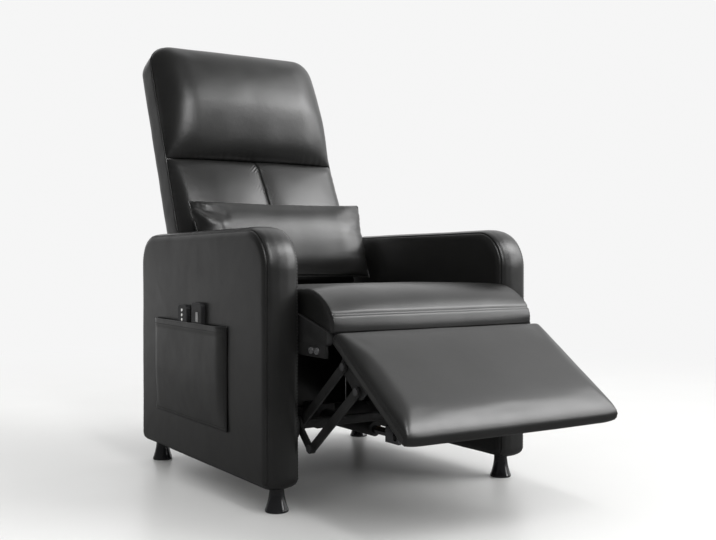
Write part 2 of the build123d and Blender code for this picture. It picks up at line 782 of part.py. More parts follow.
with BuildPart() as control_box:
    box_y = foot_case_y + gear_length
    add_box(-175, -60, box_y - 20, box_y + 45, foot_bar_z + bar_size, foot_bar_z + bar_size + 32)
    fillet(control_box.edges().filter_by(Axis.Z), 5)
finish(control_box, "control_box")

# Backrest: pivot tube with drive lug, straps, plywood panel, padded cover and two front cushions
with BuildPart() as back_tube:
    extrude(to_extrude=disc(side_plane(-shaft_end, hinge_y, hinge_z), tube_radius), amount=2 * shaft_end)
    lug_middle = ((hinge_y + back_pin[0]) / 2, (hinge_z + back_pin[1]) / 2)
    lug_lie = (0, back_step[0] / back_crank, back_step[1] / back_crank)
    with BuildSketch(Plane(origin=(-lug_half, *lug_middle), x_dir=lug_lie, z_dir=(1, 0, 0))):
        SlotCenterToCenter(back_crank, 22)
    extrude(amount=2 * lug_half)
    extrude(to_extrude=disc(side_plane(-13, *back_pin), pin_radius), amount=26)
finish(back_tube, "back_tube")

panel_rear = back_rear + back_skin
panel_front = panel_rear + back_panel_thick
panel_inset = 31.0
panel_half = back_half_width - panel_inset
strap_thick = 4.0
strap_end = 0.36 * back_top
with BuildPart() as back_straps:
    for side, sign in sides:
        strap_x = span(sign, panel_half, panel_half + strap_thick)
        extrude(
            to_extrude=outline(
                back_side(strap_x[0]),
                (
                    (-8, panel_rear, 4),
                    (strap_end, panel_rear, 4),
                    (strap_end, panel_front, 4),
                    (-8, panel_front, 4),
                ),
            ),
            amount=strap_thick,
        )
        extrude(to_extrude=disc(back_side(strap_x[0]), tube_radius + 6), amount=strap_thick)
        strap_bore = disc(back_side(strap_x[0]), tube_radius + seat_clear)
        extrude(to_extrude=strap_bore, amount=strap_thick, mode=Mode.SUBTRACT)
finish(back_straps, "back_straps")

panel_top_end = back_top - back_wall
with BuildPart() as back_panel:
    front = back_front(panel_rear)
    profile = outline(
        front,
        (
            (-panel_half, back_foot, 0),
            (panel_half, back_foot, 0),
            (panel_half, panel_top_end, 40),
            (-panel_half, panel_top_end, 40),
        ),
    )
    extrude(to_extrude=profile, amount=back_panel_thick)
    with BuildSketch(front.shift_origin(front.from_local_coords((0, (back_foot + panel_top_end) / 2, 0)))):
        panel_pitch_x = (2 * panel_half - 2.5 * window_web) / 3
        panel_pitch_up = (panel_top_end - back_foot - 1.5 * window_web) / 5
        with GridLocations(panel_pitch_x, panel_pitch_up, 3, 5):
            RectangleRounded(panel_pitch_x - window_web, panel_pitch_up - 1.3 * window_web, window_round)
    extrude(amount=back_panel_thick, mode=Mode.SUBTRACT)
finish(back_panel, "back_panel")

with BuildPart() as back_cover:
    profile = outline(
        back_front(back_rear),
        (
            (-back_half_width, back_foot, 8),
            (back_half_width, back_foot, 8),
            (back_half_width, back_top, back_corner),
            (-back_half_width, back_top, back_corner),
        ),
    )
    extrude(to_extrude=profile, amount=back_welt - back_rear)
    rear_edges = back_cover.faces().sort_by(Axis.Y)[-1].edges()
    fillet(rear_edges, 8)
    hollow_half = back_half_width - back_wall
    hollow = outline(
        back_front(panel_rear),
        (
            (-hollow_half, back_foot - 30, 0),
            (hollow_half, back_foot - 30, 0),
            (hollow_half, panel_top_end, back_corner - back_wall),
            (-hollow_half, panel_top_end, back_corner - back_wall),
        ),
    )
    extrude(to_extrude=hollow, amount=back_welt - panel_rear + 5, mode=Mode.SUBTRACT)
    flap = outline(
        back_front(back_rear),
        (
            (-back_half_width, -back_flap, 8),
            (back_half_width, -back_flap, 8),
            (back_half_width, back_foot + 20, 0),
            (-back_half_width, back_foot + 20, 0),
        ),
    )
    extrude(to_extrude=flap, amount=back_skin)
finish(back_cover, "back_cover")


def corner_drop(x):
    """How far the rounded top corner has fallen at a distance x from the middle."""
    into = max(0.0, abs(x) - (back_half_width - back_corner))
    return back_corner - math.sqrt(max(0.0, back_corner**2 - into**2))


def head_section(x, puff):
    top = back_top - corner_drop(x)
    low = back_seam + 1
    chin = back_welt + puff * 0.62
    brow = back_welt + puff * 0.3
    middle = low + (top - low) * 0.42
    with BuildSketch(back_side(x)) as section:
        with BuildLine():
            Line((top, back_welt), (low, back_welt))
            Line((low, back_welt), (low, chin))
            ThreePointArc((low, chin), (middle, back_welt + puff), (top - 4, brow))
            Line((top - 4, brow), (top, back_welt))
        make_face()
    return section.sketch


core_half = hollow_half - 1
core_rear = panel_front
with BuildPart() as head_cushion:
    steps = [(share * 0.998, 0.24 + 0.76 * swell(share, 2.3)) for share in cushion_shares]
    ribs = [head_section(back_half_width * share, head_puff * puff) for share, puff in steps]
    loft(sections=ribs, ruled=True)
    core = outline(
        back_front(core_rear),
        (
            (-core_half, back_seam + 1, 0),
            (core_half, back_seam + 1, 0),
            (core_half, panel_top_end - 1, back_corner - back_wall),
            (-core_half, panel_top_end - 1, back_corner - back_wall),
        ),
    )
    extrude(to_extrude=core, amount=back_welt - core_rear)
finish(head_cushion, "head_cushion")


def lumbar_section(x, puff):
    top = back_seam
    low = back_foot + 2
    with BuildSketch(back_side(x)) as section:
        with BuildLine():
            Line((top, back_welt), (low, back_welt))
            Line((low, back_welt), (low, back_welt + puff * 0.34))
            crest = (low + (top - low) * 0.5, back_welt + puff)
            ThreePointArc((low, back_welt + puff * 0.34), crest, (top, back_welt + puff * 0.6))
            Line((top, back_welt + puff * 0.6), (top, back_welt))
        make_face()
    return section.sketch


with BuildPart() as lumbar_cushion:
    half_steps = (0.0, 0.03, 0.09, 0.2, 0.45, 0.7, 0.85, 0.95, 1.0)
    for side, sign in sides:
        shares = []
        for share in half_steps:
            fullness = 0.25 + 0.6 * (1 - share**2) + 0.2 * swell(2 * share - 1, 2)
            shares.append((sign * back_half_width * share, lumbar_puff * fullness))
        loft(sections=[lumbar_section(x, puff) for x, puff in shares], ruled=True)
    core = outline(
        back_front(core_rear),
        (
            (-core_half, back_foot + 2, 0),
            (core_half, back_foot + 2, 0),
            (core_half, back_seam, 0),
            (-core_half, back_seam, 0),
        ),
    )
    extrude(to_extrude=core, amount=back_welt - core_rear)
finish(lumbar_cushion, "lumbar_cushion")

# Lumbar pillow: fat in the middle, drawn in to a seam at its rim, leaning on the lower cushion
pillow_rear = back_welt + lumbar_puff - pillow_settle


def pillow_section(x, fill):
    top = pillow_top - (1 - fill) * 14
    low = pillow_foot + (1 - fill) * 14
    seam_front = pillow_seam + 3
    middle = (top + low) / 2
    rear = pillow_seam - 6 - (pillow_seam - 6 - pillow_rear) * fill
    inset = 12 + 16 * fill
    front = pillow_seam + 6 + (pillow_front - pillow_seam - 6) * fill
    with BuildSketch(back_side(x)) as section:
        with BuildLine():
            Line((low + inset, rear), (top - inset, rear))
            Line((top - inset, rear), (top, pillow_seam - 3))
            Line((top, pillow_seam - 3), (top, seam_front))
            ThreePointArc((top, seam_front), (middle, front), (low, seam_front))
            Line((low, seam_front), (low, pillow_seam - 3))
            Line((low, pillow_seam - 3), (low + inset, rear))
        make_face()
    return section.sketch


with BuildPart() as lumbar_pillow:
    steps = [(share, 0.04 + 0.96 * swell(share, 2.2)) for share in cushion_shares]
    loft(sections=[pillow_section(pillow_half_width * share, fill) for share, fill in steps], ruled=True)
finish(lumbar_pillow, "lumbar_pillow")

# Side pocket: a patch sewn to the right arm on three edges, open at the top
pocket_face = -outer_x
pocket_hem = 20.0
with BuildPart() as side_pocket:
    bag = pocket_depth + pocket_wall
    with BuildSketch(Plane.XY.offset(pocket_foot_z)):
        with BuildLine():
            Polyline(
                (pocket_face, pocket_front_y),
                (pocket_face - bag, pocket_front_y + pocket_hem),
                (pocket_face - bag, pocket_rear_y - pocket_hem),
                (pocket_face, pocket_rear_y),
                close=True,
            )
        make_face()
    extrude(amount=pocket_top_z - pocket_foot_z)
    inside = (pocket_front_y + pocket_hem, pocket_rear_y - pocket_hem)
    add_box(pocket_face - pocket_depth, pocket_face, *inside, pocket_shelf_z, pocket_top_z, Mode.SUBTRACT)
    wedge = outline(
        Plane(origin=(0, inside[0], 0), x_dir=(1, 0, 0), z_dir=(0, -1, 0)),
        (
            (pocket_face, pocket_shelf_z, 0),
            (pocket_face - pocket_depth + 3, pocket_shelf_z, 0),
            (pocket_face - 3, pocket_foot_z + 8, 0),
            (pocket_face, pocket_foot_z + 8, 0),
        ),
    )
    extrude(to_extrude=wedge, amount=-(inside[1] - inside[0]), mode=Mode.SUBTRACT)
    taper = outline(
        Plane(origin=(0, pocket_front_y, 0), x_dir=(1, 0, 0), z_dir=(0, -1, 0)),
        (
            (pocket_face - bag - 1, pocket_foot_z, 0),
            (pocket_face - bag + 9, pocket_foot_z, 0),
            (pocket_face - bag, pocket_foot_z + 80, 0),
            (pocket_face - bag - 1, pocket_foot_z + 80, 0),
        ),
    )
    extrude(to_extrude=taper, amount=-(pocket_rear_y - pocket_front_y), mode=Mode.SUBTRACT)
finish(side_pocket, "side_pocket")

# Handsets standing in the pocket, one with three round keys, one with a rocker
handset_inner = pocket_face - 0.5
handset_outer = handset_inner - handset_thick


def handset_case(centre_y, width, top_z):
    half = width / 2
    shape = outline(
        side_plane(handset_outer),
        (
            (centre_y - half, pocket_shelf_z, handset_round),
            (centre_y + half, pocket_shelf_z, handset_round),
            (centre_y + half, top_z, handset_round),
            (centre_y - half, top_z, handset_round),
        ),
    )
    return shape


key_rows = [keypad_top_z - 11 - i * key_pitch for i in range(3)]
key_proud = 1.0
key_well = 3.0
with BuildPart() as keypad_handset:
    extrude(to_extrude=handset_case(keypad_y, keypad_width, keypad_top_z), amount=handset_thick)
    fillet(keypad_handset.faces().filter_by(Axis.X).edges(), 2)
    for row in key_rows:
        well = disc(side_plane(handset_outer, keypad_y, row), key_radius + 0.1)
        extrude(to_extrude=well, amount=key_well, mode=Mode.SUBTRACT)
finish(keypad_handset, "keypad_handset")

for name, row in zip(("top", "middle", "bottom"), key_rows):
    with BuildPart() as key:
        cap = disc(side_plane(handset_outer - key_proud, keypad_y, row), key_radius)
        extrude(to_extrude=cap, amount=key_proud + key_well - key_travel - 0.2)
    finish(key, f"{name}_key")

rocker_y = control_y - 4.5
rocker_z = pocket_top_z + 3 + rocker_height / 2
rocker_deep = 3.0
with BuildPart() as control_handset:
    extrude(to_extrude=handset_case(control_y, control_width, control_top_z), amount=handset_thick)
    fillet(control_handset.faces().filter_by(Axis.X).edges(), 2)
    well_half = (rocker_width / 2 + 0.3, rocker_height / 2 + 0.4)
    add_box(
        handset_outer,
        handset_outer + rocker_deep + 1.2,
        rocker_y - well_half[0],
        rocker_y + well_half[0],
        rocker_z - well_half[1],
        rocker_z + well_half[1],
        Mode.SUBTRACT,
    )
finish(control_handset, "control_handset")

with BuildPart() as rocker_key:
    add_box(
        handset_outer - 1,
        handset_outer + rocker_deep,
        rocker_y - rocker_width / 2,
        rocker_y + rocker_width / 2,
        rocker_z - rocker_height / 2,
        rocker_z + rocker_height / 2,
    )
    fillet(rocker_key.edges().filter_by(Axis.X), 2)
finish(rocker_key, "rocker_key")
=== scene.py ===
import json
import logging
import math
from dataclasses import dataclass
from enum import Enum
from typing import Callable, ClassVar, Iterable, Sequence

import bmesh
import bpy
import numpy as np
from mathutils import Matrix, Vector, noise
from mathutils.bvhtree import BVHTree
from mathutils.kdtree import KDTree


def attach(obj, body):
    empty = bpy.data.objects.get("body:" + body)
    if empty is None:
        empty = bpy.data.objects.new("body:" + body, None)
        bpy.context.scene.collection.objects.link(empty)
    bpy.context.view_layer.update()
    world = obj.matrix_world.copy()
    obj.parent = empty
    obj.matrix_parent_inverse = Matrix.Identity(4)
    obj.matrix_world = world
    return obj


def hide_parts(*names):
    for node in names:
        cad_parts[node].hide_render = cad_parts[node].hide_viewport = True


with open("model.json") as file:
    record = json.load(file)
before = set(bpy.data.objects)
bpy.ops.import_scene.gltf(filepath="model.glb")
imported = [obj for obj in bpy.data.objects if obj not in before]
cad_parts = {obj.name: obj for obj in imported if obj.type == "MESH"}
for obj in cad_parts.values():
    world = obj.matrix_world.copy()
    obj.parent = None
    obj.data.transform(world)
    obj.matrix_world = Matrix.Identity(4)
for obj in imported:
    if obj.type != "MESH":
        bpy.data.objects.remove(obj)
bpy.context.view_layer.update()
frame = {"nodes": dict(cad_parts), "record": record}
log = logging.getLogger("recliner")

# Shapes are worked out in millimetres of the row frame and become metres when a piece is made.
MM = 0.001
WHITE = (1.0, 1.0, 1.0, 1.0)
SEAM_STEP = 1.5  # spacing of the points that stand for a seam
PIPING_STEP = 6.0  # spacing of the rings along a piping cord
PIPING_SIDES = 10
FAST = 1.0  # held so firmly that the filling can't move it

Colour = tuple[float, float, float]
Flat = tuple[float, float]
Rim = list[tuple[Flat, Flat]]
Line = list[Vector]
Piece = bpy.types.Object
Material = bpy.types.Material
Socket = bpy.types.NodeSocket


class Body(str, Enum):
    """The moving bodies that dressed pieces ride on."""

    BASE = "base"
    BACK = "backrest"
    FOOTREST = "footrest"
    PILLOW = "lumbar_pillow"


class Slot(str, Enum):
    """Material slots of the record that dressed pieces take."""

    UPHOLSTERY = "upholstery"


# Finishes


class Shader:
    """A new material, or a world's nodes, with a short way to add and join nodes."""

    def __init__(self, name: str, world: bpy.types.World | None = None) -> None:
        """Starts a material, or empties a world's nodes.

        Args:
            name: the material's name.
            world: the world to fill instead of a material.
        """
        if world is None:
            self.material = bpy.data.materials.new(name)
            self.material.use_nodes = True
            self.tree = self.material.node_tree
            self.surface = self.tree.nodes["Principled BSDF"]
        else:
            self.tree = world.node_tree
            self.tree.nodes.clear()

    def give(self, node: bpy.types.Node, **values: object) -> None:
        """Sets a node up.

        Args:
            node: the node.
            values: a value, or a socket to link, by socket name with _ for spaces, or a setting of the node's own.
        """
        for key, value in values.items():
            socket = node.inputs.get(key.replace("_", " "))
            if socket is None:
                setattr(node, key, value)
            elif isinstance(value, Socket):
                self.tree.links.new(value, socket)
            else:
                socket.default_value = value

    def add(self, kind: str, **values: object) -> bpy.types.Node:
        """Adds a node.

        Args:
            kind: the node's type name, without its usual start.
            values: what give takes.

        Returns:
            The new node.
        """
        node = self.tree.nodes.new(f"ShaderNode{kind}")
        self.give(node, **values)
        return node

    def place(self, kind: str = "Object") -> Socket:
        """Adds coordinates of one kind and returns their socket."""
        return self.add("TexCoord").outputs[kind]

    def noise(self, scale: float, detail: float = 2.0, roughness: float = 0.5) -> Socket:
        """Adds noise in object space.

        Args:
            scale: cells in a metre.
            detail: octaves.
            roughness: how much the fine octaves count.

        Returns:
            The noise value's socket.
        """
        node = self.add("TexNoise", Vector=self.place(), Scale=scale, Detail=detail, Roughness=roughness)
        return node.outputs["Fac"]

    def cells(self, scale: float) -> Socket:
        """Adds rounded cells in object space and returns their height socket."""
        node = self.add("TexVoronoi", feature="SMOOTH_F1", Vector=self.place(), Scale=scale, Smoothness=0.35)
        return node.outputs["Distance"]

    def mapped(self, value: Socket, low: float, high: float) -> Socket:
        """Maps a noise value to a range and returns its socket."""
        node = self.add("MapRange", Value=value, From_Min=0.25, From_Max=0.75, To_Min=low, To_Max=high)
        return node.outputs["Result"]

    def tint(self, value: Socket, dark: Colour, light: Colour) -> Socket:
        """Mixes two colours by a value.

        Args:
            value: the mixing value.
            dark: colour at the low end.
            light: colour at the high end.

        Returns:
            The colour's socket.
        """
        ramp = self.add("ValToRGB", Fac=value)
        for stop, place, colour in zip(ramp.color_ramp.elements, (0.3, 0.7), (dark, light)):
            stop.position = place
            stop.color = (*colour, 1.0)
        return ramp.outputs["Color"]

    def maths(self, operation: str, one: Socket, two: Socket) -> Socket:
        """Adds a calculation with two values.

        Args:
            operation: what is done with them.
            one: the first value.
            two: the second value.

        Returns:
            The result's socket.
        """
        node = self.add("Math", operation=operation)
        self.tree.links.new(one, node.inputs[0])
        self.tree.links.new(two, node.inputs[1])
        return node.outputs[0]

    def glow(self, base: Socket, share: Socket, kind: str, strength: float) -> Socket:
        """Lays plain white light over a surface or a world.

        Args:
            base: what lies below.
            share: how much of the light shows.
            kind: Emission in a material, Background in a world.
            strength: level of the light, where 1 is white.

        Returns:
            The mixed socket.
        """
        light = self.add(kind, Color=WHITE, Strength=strength)
        mix = self.add("MixShader", Fac=share)
        self.tree.links.new(base, mix.inputs[1])
        self.tree.links.new(light.outputs[0], mix.inputs[2])
        return mix.outputs[0]

    def relief(self, layers: Sequence[tuple[Socket, float, float]]) -> None:
        """Stacks bumps on the surface.

        Args:
            layers: height socket, strength and depth in metres of each layer.
        """
        previous = None
        for height, strength, depth in layers:
            bump = self.add("Bump", Height=height, Strength=strength, Distance=depth)
            if previous is not None:
                self.give(bump, Normal=previous)
            previous = bump.outputs["Normal"]
        self.give(self.surface, Normal=previous)


@dataclass(frozen=True)
class Leather:
    """Satin faux leather: pebble grain, faint creases, uneven sheen and rubbed patches."""

    name: str = "black_faux_leather"
    colour: Colour = (0.0057, 0.0057, 0.0054)
    rubbed: Colour = (0.0093, 0.0093, 0.0089)
    sheen_low: float = 0.30
    sheen_high: float = 0.37
    specular: float = 0.90
    patches: float = 11.0
    sheen_cells: float = 16.0
    crease_cells: float = 38.0
    crease_bump: Flat = (0.20, 0.0012)
    pebble_cells: float = 620.0
    pebble_bump: Flat = (0.30, 0.00035)
    pore_cells: float = 2400.0
    pore_bump: Flat = (0.12, 0.0002)

    def material(self) -> Material:
        """Makes the material.

        Returns:
            The new material.
        """
        shader = Shader(self.name)
        shader.give(
            shader.surface,
            Specular_IOR_Level=self.specular,
            Base_Color=shader.tint(shader.noise(self.patches, 4.0), self.colour, self.rubbed),
            Roughness=shader.mapped(shader.noise(self.sheen_cells, 5.0, 0.6), self.sheen_low, self.sheen_high),
        )
        shader.relief(
            (
                (shader.noise(self.crease_cells, 4.0), *self.crease_bump),
                (shader.cells(self.pebble_cells), *self.pebble_bump),
                (shader.noise(self.pore_cells), *self.pore_bump),
            )
        )
        return shader.material


@dataclass(frozen=True)
class Paint:
    """Powder coat, plating or moulded skin: one colour with fine orange peel and uneven gloss."""

    name: str
    colour: Colour
    light: Colour
    gloss_low: float
    gloss_high: float
    peel: float = 900.0
    depth: float = 0.0002
    metallic: float = 0.0
    coat: float = 0.0
    patches: float = 30.0
    gloss_cells: float = 60.0
    bump: float = 0.25

    def material(self) -> Material:
        """Makes the material.

        Returns:
            The new material.
        """
        shader = Shader(self.name)
        shader.give(
            shader.surface,
            Metallic=self.metallic,
            Coat_Weight=self.coat,
            Base_Color=shader.tint(shader.noise(self.patches, 4.0), self.colour, self.light),
            Roughness=shader.mapped(shader.noise(self.gloss_cells, 4.0), self.gloss_low, self.gloss_high),
        )
        shader.relief(((shader.noise(self.peel), self.bump, self.depth),))
        return shader.material


@dataclass(frozen=True)
class Timber:
    """Plywood: pale veneer with long grain."""

    name: str = "plywood"
    dark: Colour = (0.36, 0.25, 0.15)
    light: Colour = (0.56, 0.43, 0.28)
    stretch: Colour = (60.0, 3.0, 60.0)
    bump: Flat = (0.2, 0.0004)

    def material(self) -> Material:
        """Makes the material.

        Returns:
            The new material.
        """
        shader = Shader(self.name)
        stretched = shader.add("Mapping", Vector=shader.place(), Scale=self.stretch).outputs["Vector"]
        grain = shader.add("TexNoise", Vector=stretched, Scale=3.0, Detail=6.0, Distortion=1.4).outputs["Fac"]
        shader.give(
            shader.surface,
            Base_Color=shader.tint(grain, self.dark, self.light),
            Roughness=shader.mapped(grain, 0.5, 0.7),
        )
        shader.relief(((grain, *self.bump),))
        return shader.material


@dataclass(frozen=True)
class Strap:
    """Woven webbing."""

    name: str = "webbing"
    dark: Colour = (0.012, 0.012, 0.012)
    light: Colour = (0.05, 0.05, 0.05)
    threads: float = 110.0
    roughness: float = 0.85
    bump: Flat = (0.4, 0.0006)

    def material(self) -> Material:
        """Makes the material.

        Returns:
            The new material.
        """
        shader = Shader(self.name)
        weave = shader.add("TexWave", Vector=shader.place(), Scale=self.threads, Distortion=0.4).outputs["Fac"]
        shader.give(
            shader.surface, Base_Color=shader.tint(weave, self.dark, self.light), Roughness=self.roughness
        )
        shader.relief(((weave, *self.bump),))
        return shader.material


class Finishes:
    """All finishes of the chair, each made once."""

    def __init__(self) -> None:
        """Makes every material."""
        self.leather = Leather().material()
        self.thread = Paint("sewing_thread", (0.012, 0.012, 0.012), (0.024, 0.024, 0.024), 0.45, 0.6, 3000.0).material()
        rigid = {
            "timber": Timber(),
            "foot_gloss": Paint(
                "gloss_foot", (0.008, 0.008, 0.009), (0.014, 0.014, 0.015), 0.10, 0.20, 90.0, 0.0001, coat=0.4
            ),
            "zinc_steel": Paint(
                "zinc_plate", (0.34, 0.34, 0.35), (0.46, 0.46, 0.47), 0.22, 0.38, 700.0, 0.0001, metallic=0.85
            ),
            "black_steel": Paint("black_powder_coat", (0.010, 0.010, 0.010), (0.020, 0.020, 0.020), 0.34, 0.5),
            "bright_rod": Paint(
                "bright_rod", (0.20, 0.20, 0.21), (0.30, 0.30, 0.31), 0.14, 0.24, 1500.0, 0.00005, metallic=1.0
            ),
            "black_plastic": Paint(
                "moulded_plastic", (0.014, 0.014, 0.015), (0.024, 0.024, 0.025), 0.42, 0.55, 1800.0, 0.00012
            ),
            "white_key": Paint("white_key", (0.74, 0.74, 0.72), (0.86, 0.86, 0.84), 0.35, 0.45, 1200.0),
            "grey_key": Paint("grey_key", (0.20, 0.20, 0.20), (0.27, 0.27, 0.27), 0.3, 0.4, 1200.0),
            "webbing": Strap(),
            "black_board": Paint(
                "black_board", (0.010, 0.010, 0.010), (0.018, 0.018, 0.018), 0.6, 0.75, 1400.0, 0.0003
            ),
            "dark_pin": Paint("dark_pin", (0.030, 0.030, 0.031), (0.055, 0.055, 0.056), 0.3, 0.42, 900.0, 0.0001),
        }
        self.by_slot = {slot: finish.material() for slot, finish in rigid.items()}
        self.by_slot[Slot.UPHOLSTERY.value] = self.leather


# Shape tools


def swell(share: float, power: float) -> float:
    """Fullness of a stuffed piece, 1 in its middle and 0 at its edge."""
    return (1.0 - min(1.0, abs(share)) ** power) ** (1.0 / power)


def shoulder(inside: float, width: float, power: float = 2.2) -> float:
    """Height of a rounded shoulder, 0 at the edge and 1 from its width inwards."""
    share = min(1.0, max(0.0, inside / width))
    return (1.0 - (1.0 - share) ** power) ** (1.0 / power)


def spread(count: int, crowd: float) -> list[float]:
    """Shares from -1 to 1 that crowd towards both ends.

    Args:
        count: how many shares.
        crowd: 0 for even steps, 1 for steps of even angle.

    Returns:
        The shares in order.
    """
    even_steps = np.linspace(-1.0, 1.0, count)
    return list((1 - crowd) * even_steps + crowd * np.sin(even_steps * math.pi / 2))


def arc(start: Flat, middle: Flat, end: Flat, count: int) -> list[Flat]:
    """Points of the arc through three points, both ends included.

    Args:
        start: first point.
        middle: a point on the way.
        end: last point.
        count: how many points.

    Returns:
        The points in order.
    """
    (ax, ay), (bx, by), (cx, cy) = start, middle, end
    cross = 2 * ((bx - ax) * (cy - ay) - (by - ay) * (cx - ax))
    shares = np.linspace(0.0, 1.0, count)
    if abs(cross) < 1e-6:
        return [(ax + (cx - ax) * k, ay + (cy - ay) * k) for k in shares]
    b2, c2 = (bx - ax) ** 2 + (by - ay) ** 2, (cx - ax) ** 2 + (cy - ay) ** 2
    ox = ax + ((cy - ay) * b2 - (by - ay) * c2) / cross
    oy = ay + ((bx - ax) * c2 - (cx - ax) * b2) / cross
    radius = math.hypot(ax - ox, ay - oy)
    first = math.atan2(ay - oy, ax - ox)
    whole = math.atan2(cy - oy, cx - ox) - first
    turn = 2 * math.pi
    whole = whole % turn if cross > 0 else -((-whole) % turn)
    return [(ox + radius * math.cos(first + whole * k), oy + radius * math.sin(first + whole * k)) for k in shares]


def run(points: Sequence[Flat], count: int) -> list[Flat]:
    """Even points along a broken line, both ends included.

    Args:
        points: the line's corners.
        count: how many points.

    Returns:
        The points in order.
    """
    line = np.array(points, float)
    legs = np.hypot(*np.diff(line, axis=0).T)
    along = np.concatenate(([0.0], np.cumsum(legs)))
    at = np.linspace(0.0, along[-1], count)
    return list(zip(np.interp(at, along, line[:, 0]), np.interp(at, along, line[:, 1])))


def even(line: Sequence[Vector], step: float, closed: bool = False) -> tuple[Line, np.ndarray]:
    """Even points along a line in space.

    Args:
        line: its points.
        step: wanted spacing.
        closed: whether it is a ring.

    Returns:
        The points, without a repeated end on a ring, and their places along it.
    """
    points = np.array([tuple(p) for p in line], float)
    if closed:
        points = np.vstack((points, points[:1]))
    along = np.concatenate(([0.0], np.cumsum(np.linalg.norm(np.diff(points, axis=0), axis=1))))
    count = max(2, round(along[-1] / step) + 1)
    at = np.linspace(0.0, along[-1], count)
    if closed:
        at = at[:-1]
    spots = np.stack([np.interp(at, along, points[:, k]) for k in range(3)], axis=1)
    return [Vector(p) for p in spots], at


@dataclass(frozen=True)
class Outline:
    """Closed outline with rounded corners, given anticlockwise as (across, up, radius)."""

    corners: tuple[tuple[float, float, float], ...]
    step: float = 7.0
    closer: float = 1.6

    def points(self) -> Rim:
        """Samples the outline.

        Returns:
            Pairs of point and outward direction, in order round the outline.
        """
        found: Rim = []
        count = len(self.corners)
        ends = []
        for i, (x, y, radius) in enumerate(self.corners):
            here = Vector((x, y))
            before = (Vector(self.corners[i - 1][:2]) - here).normalized()
            after = (Vector(self.corners[(i + 1) % count][:2]) - here).normalized()
            half = before.angle(after) / 2
            centre = here + (before + after).normalized() * (radius / math.sin(half))
            reach = radius / math.tan(half)
            ends.append((here + before * reach, here + after * reach, centre, radius))
        for i, (start, end, centre, radius) in enumerate(ends):
            first = math.atan2(start.y - centre.y, start.x - centre.x)
            sweep = (math.atan2(end.y - centre.y, end.x - centre.x) - first) % (2 * math.pi)
            steps = max(3, round(radius * sweep / self.step * self.closer))
            for k in range(steps + 1):
                angle = first + sweep * k / steps
                way = (math.cos(angle), math.sin(angle))
                found.append(((centre.x + radius * way[0], centre.y + radius * way[1]), way))
            leg = ends[(i + 1) % count][0] - end
            steps = max(2, round(leg.length / self.step))
            way = (leg.y / leg.length, -leg.x / leg.length)
            for k in range(1, steps):
                spot = end + leg * (k / steps)
                found.append(((spot.x, spot.y), way))
        return found


def panel_rim(half: float, low: float, high: float, low_corner: float, high_corner: float) -> Rim:
    """Outline of an upright panel with rounded corners.

    Args:
        half: half its width.
        low: its lower edge.
        high: its upper edge.
        low_corner: radius of its lower corners.
        high_corner: radius of its upper corners.

    Returns:
        Pairs of point and outward direction.
    """
    lower = ((-half, low, low_corner), (half, low, low_corner))
    upper = ((half, high, high_corner), (-half, high, high_corner))
    return Outline(lower + upper).points()


class Skin:
    """Points and faces of one piece while it is being made, in millimetres."""

    def __init__(self, name: str) -> None:
        """Starts an empty piece with a name.

        Args:
            name: the piece's name.
        """
        self.name = name
        self.points: Line = []
        self.faces: list[tuple[int, ...]] = []

    def row(self, points: Iterable[Vector]) -> list[int]:
        """Adds points.

        Args:
            points: places in millimetres.

        Returns:
            The numbers of the new points.
        """
        first = len(self.points)
        self.points.extend(points)
        return list(range(first, len(self.points)))

    def strip(self, one: Sequence[int], two: Sequence[int], closed: bool = False) -> None:
        """Fills between two rows of equal length.

        Args:
            one: numbers of the first row.
            two: numbers of the second row.
            closed: whether the rows are rings.
        """
        count = len(one)
        for i in range(count if closed else count - 1):
            j = (i + 1) % count
            self.faces.append((one[i], one[j], two[j], two[i]))

    def sheet(self, rows: Sequence[Sequence[int]], closed: bool = False) -> None:
        """Fills between each row and the next."""
        for one, two in zip(rows, rows[1:]):
            self.strip(one, two, closed)

    def cap(self, ring: Sequence[int]) -> None:
        """Closes a ring of points with one flat face."""
        self.faces.append(tuple(ring))

    def drum(self, rings: Sequence[Sequence[int]]) -> None:
        """Fills a stack of rings and closes both its ends.

        Args:
            rings: numbers of each ring's points.
        """
        self.sheet(rings, closed=True)
        self.cap(rings[0])
        self.cap(rings[-1])

    def between(self, one: list[int], two: list[int], shares: Sequence[float]) -> list[list[int]]:
        """Fills a panel between two rows, with more rows on the way.

        Args:
            one: numbers of the first row.
            two: numbers of the last row.
            shares: places of the rows between them.

        Returns:
            All rows in order.
        """
        rows = [one]
        for share in shares:
            rows.append(self.row([self.points[a].lerp(self.points[b], share) for a, b in zip(one, two)]))
        rows.append(two)
        self.sheet(rows)
        return rows

    def fan(self, rim: list[int], shares: Sequence[float], inner: Callable[[int, float], Vector]) -> None:
        """Fills inside a ring with smaller rings and one last flat face.

        Args:
            rim: numbers of the ring's points.
            shares: how far in each smaller ring lies.
            inner: gives the place on a smaller ring of a point, by its place round the rim.
        """
        rings = [rim]
        for share in shares:
            rings.append(self.row([inner(k, share) for k in range(len(rim))]))
        self.sheet(rings, closed=True)
        self.cap(rings[-1])

    def make(self) -> Piece:
        """Makes the mesh object, in metres, with its faces turned outwards.

        Returns:
            The new object.
        """
        mesh = bpy.data.meshes.new(self.name)
        mesh.from_pydata([p * MM for p in self.points], [], self.faces)
        body = bmesh.new()
        body.from_mesh(mesh)
        wide = [f for f in body.faces if len(f.verts) > 4]
        bmesh.ops.triangulate(body, faces=wide)
        bmesh.ops.recalc_face_normals(body, faces=body.faces)
        body.to_mesh(mesh)
        body.free()
        mesh.shade_smooth()
        made = bpy.data.objects.new(self.name, mesh)
        bpy.context.scene.collection.objects.link(made)
        return made


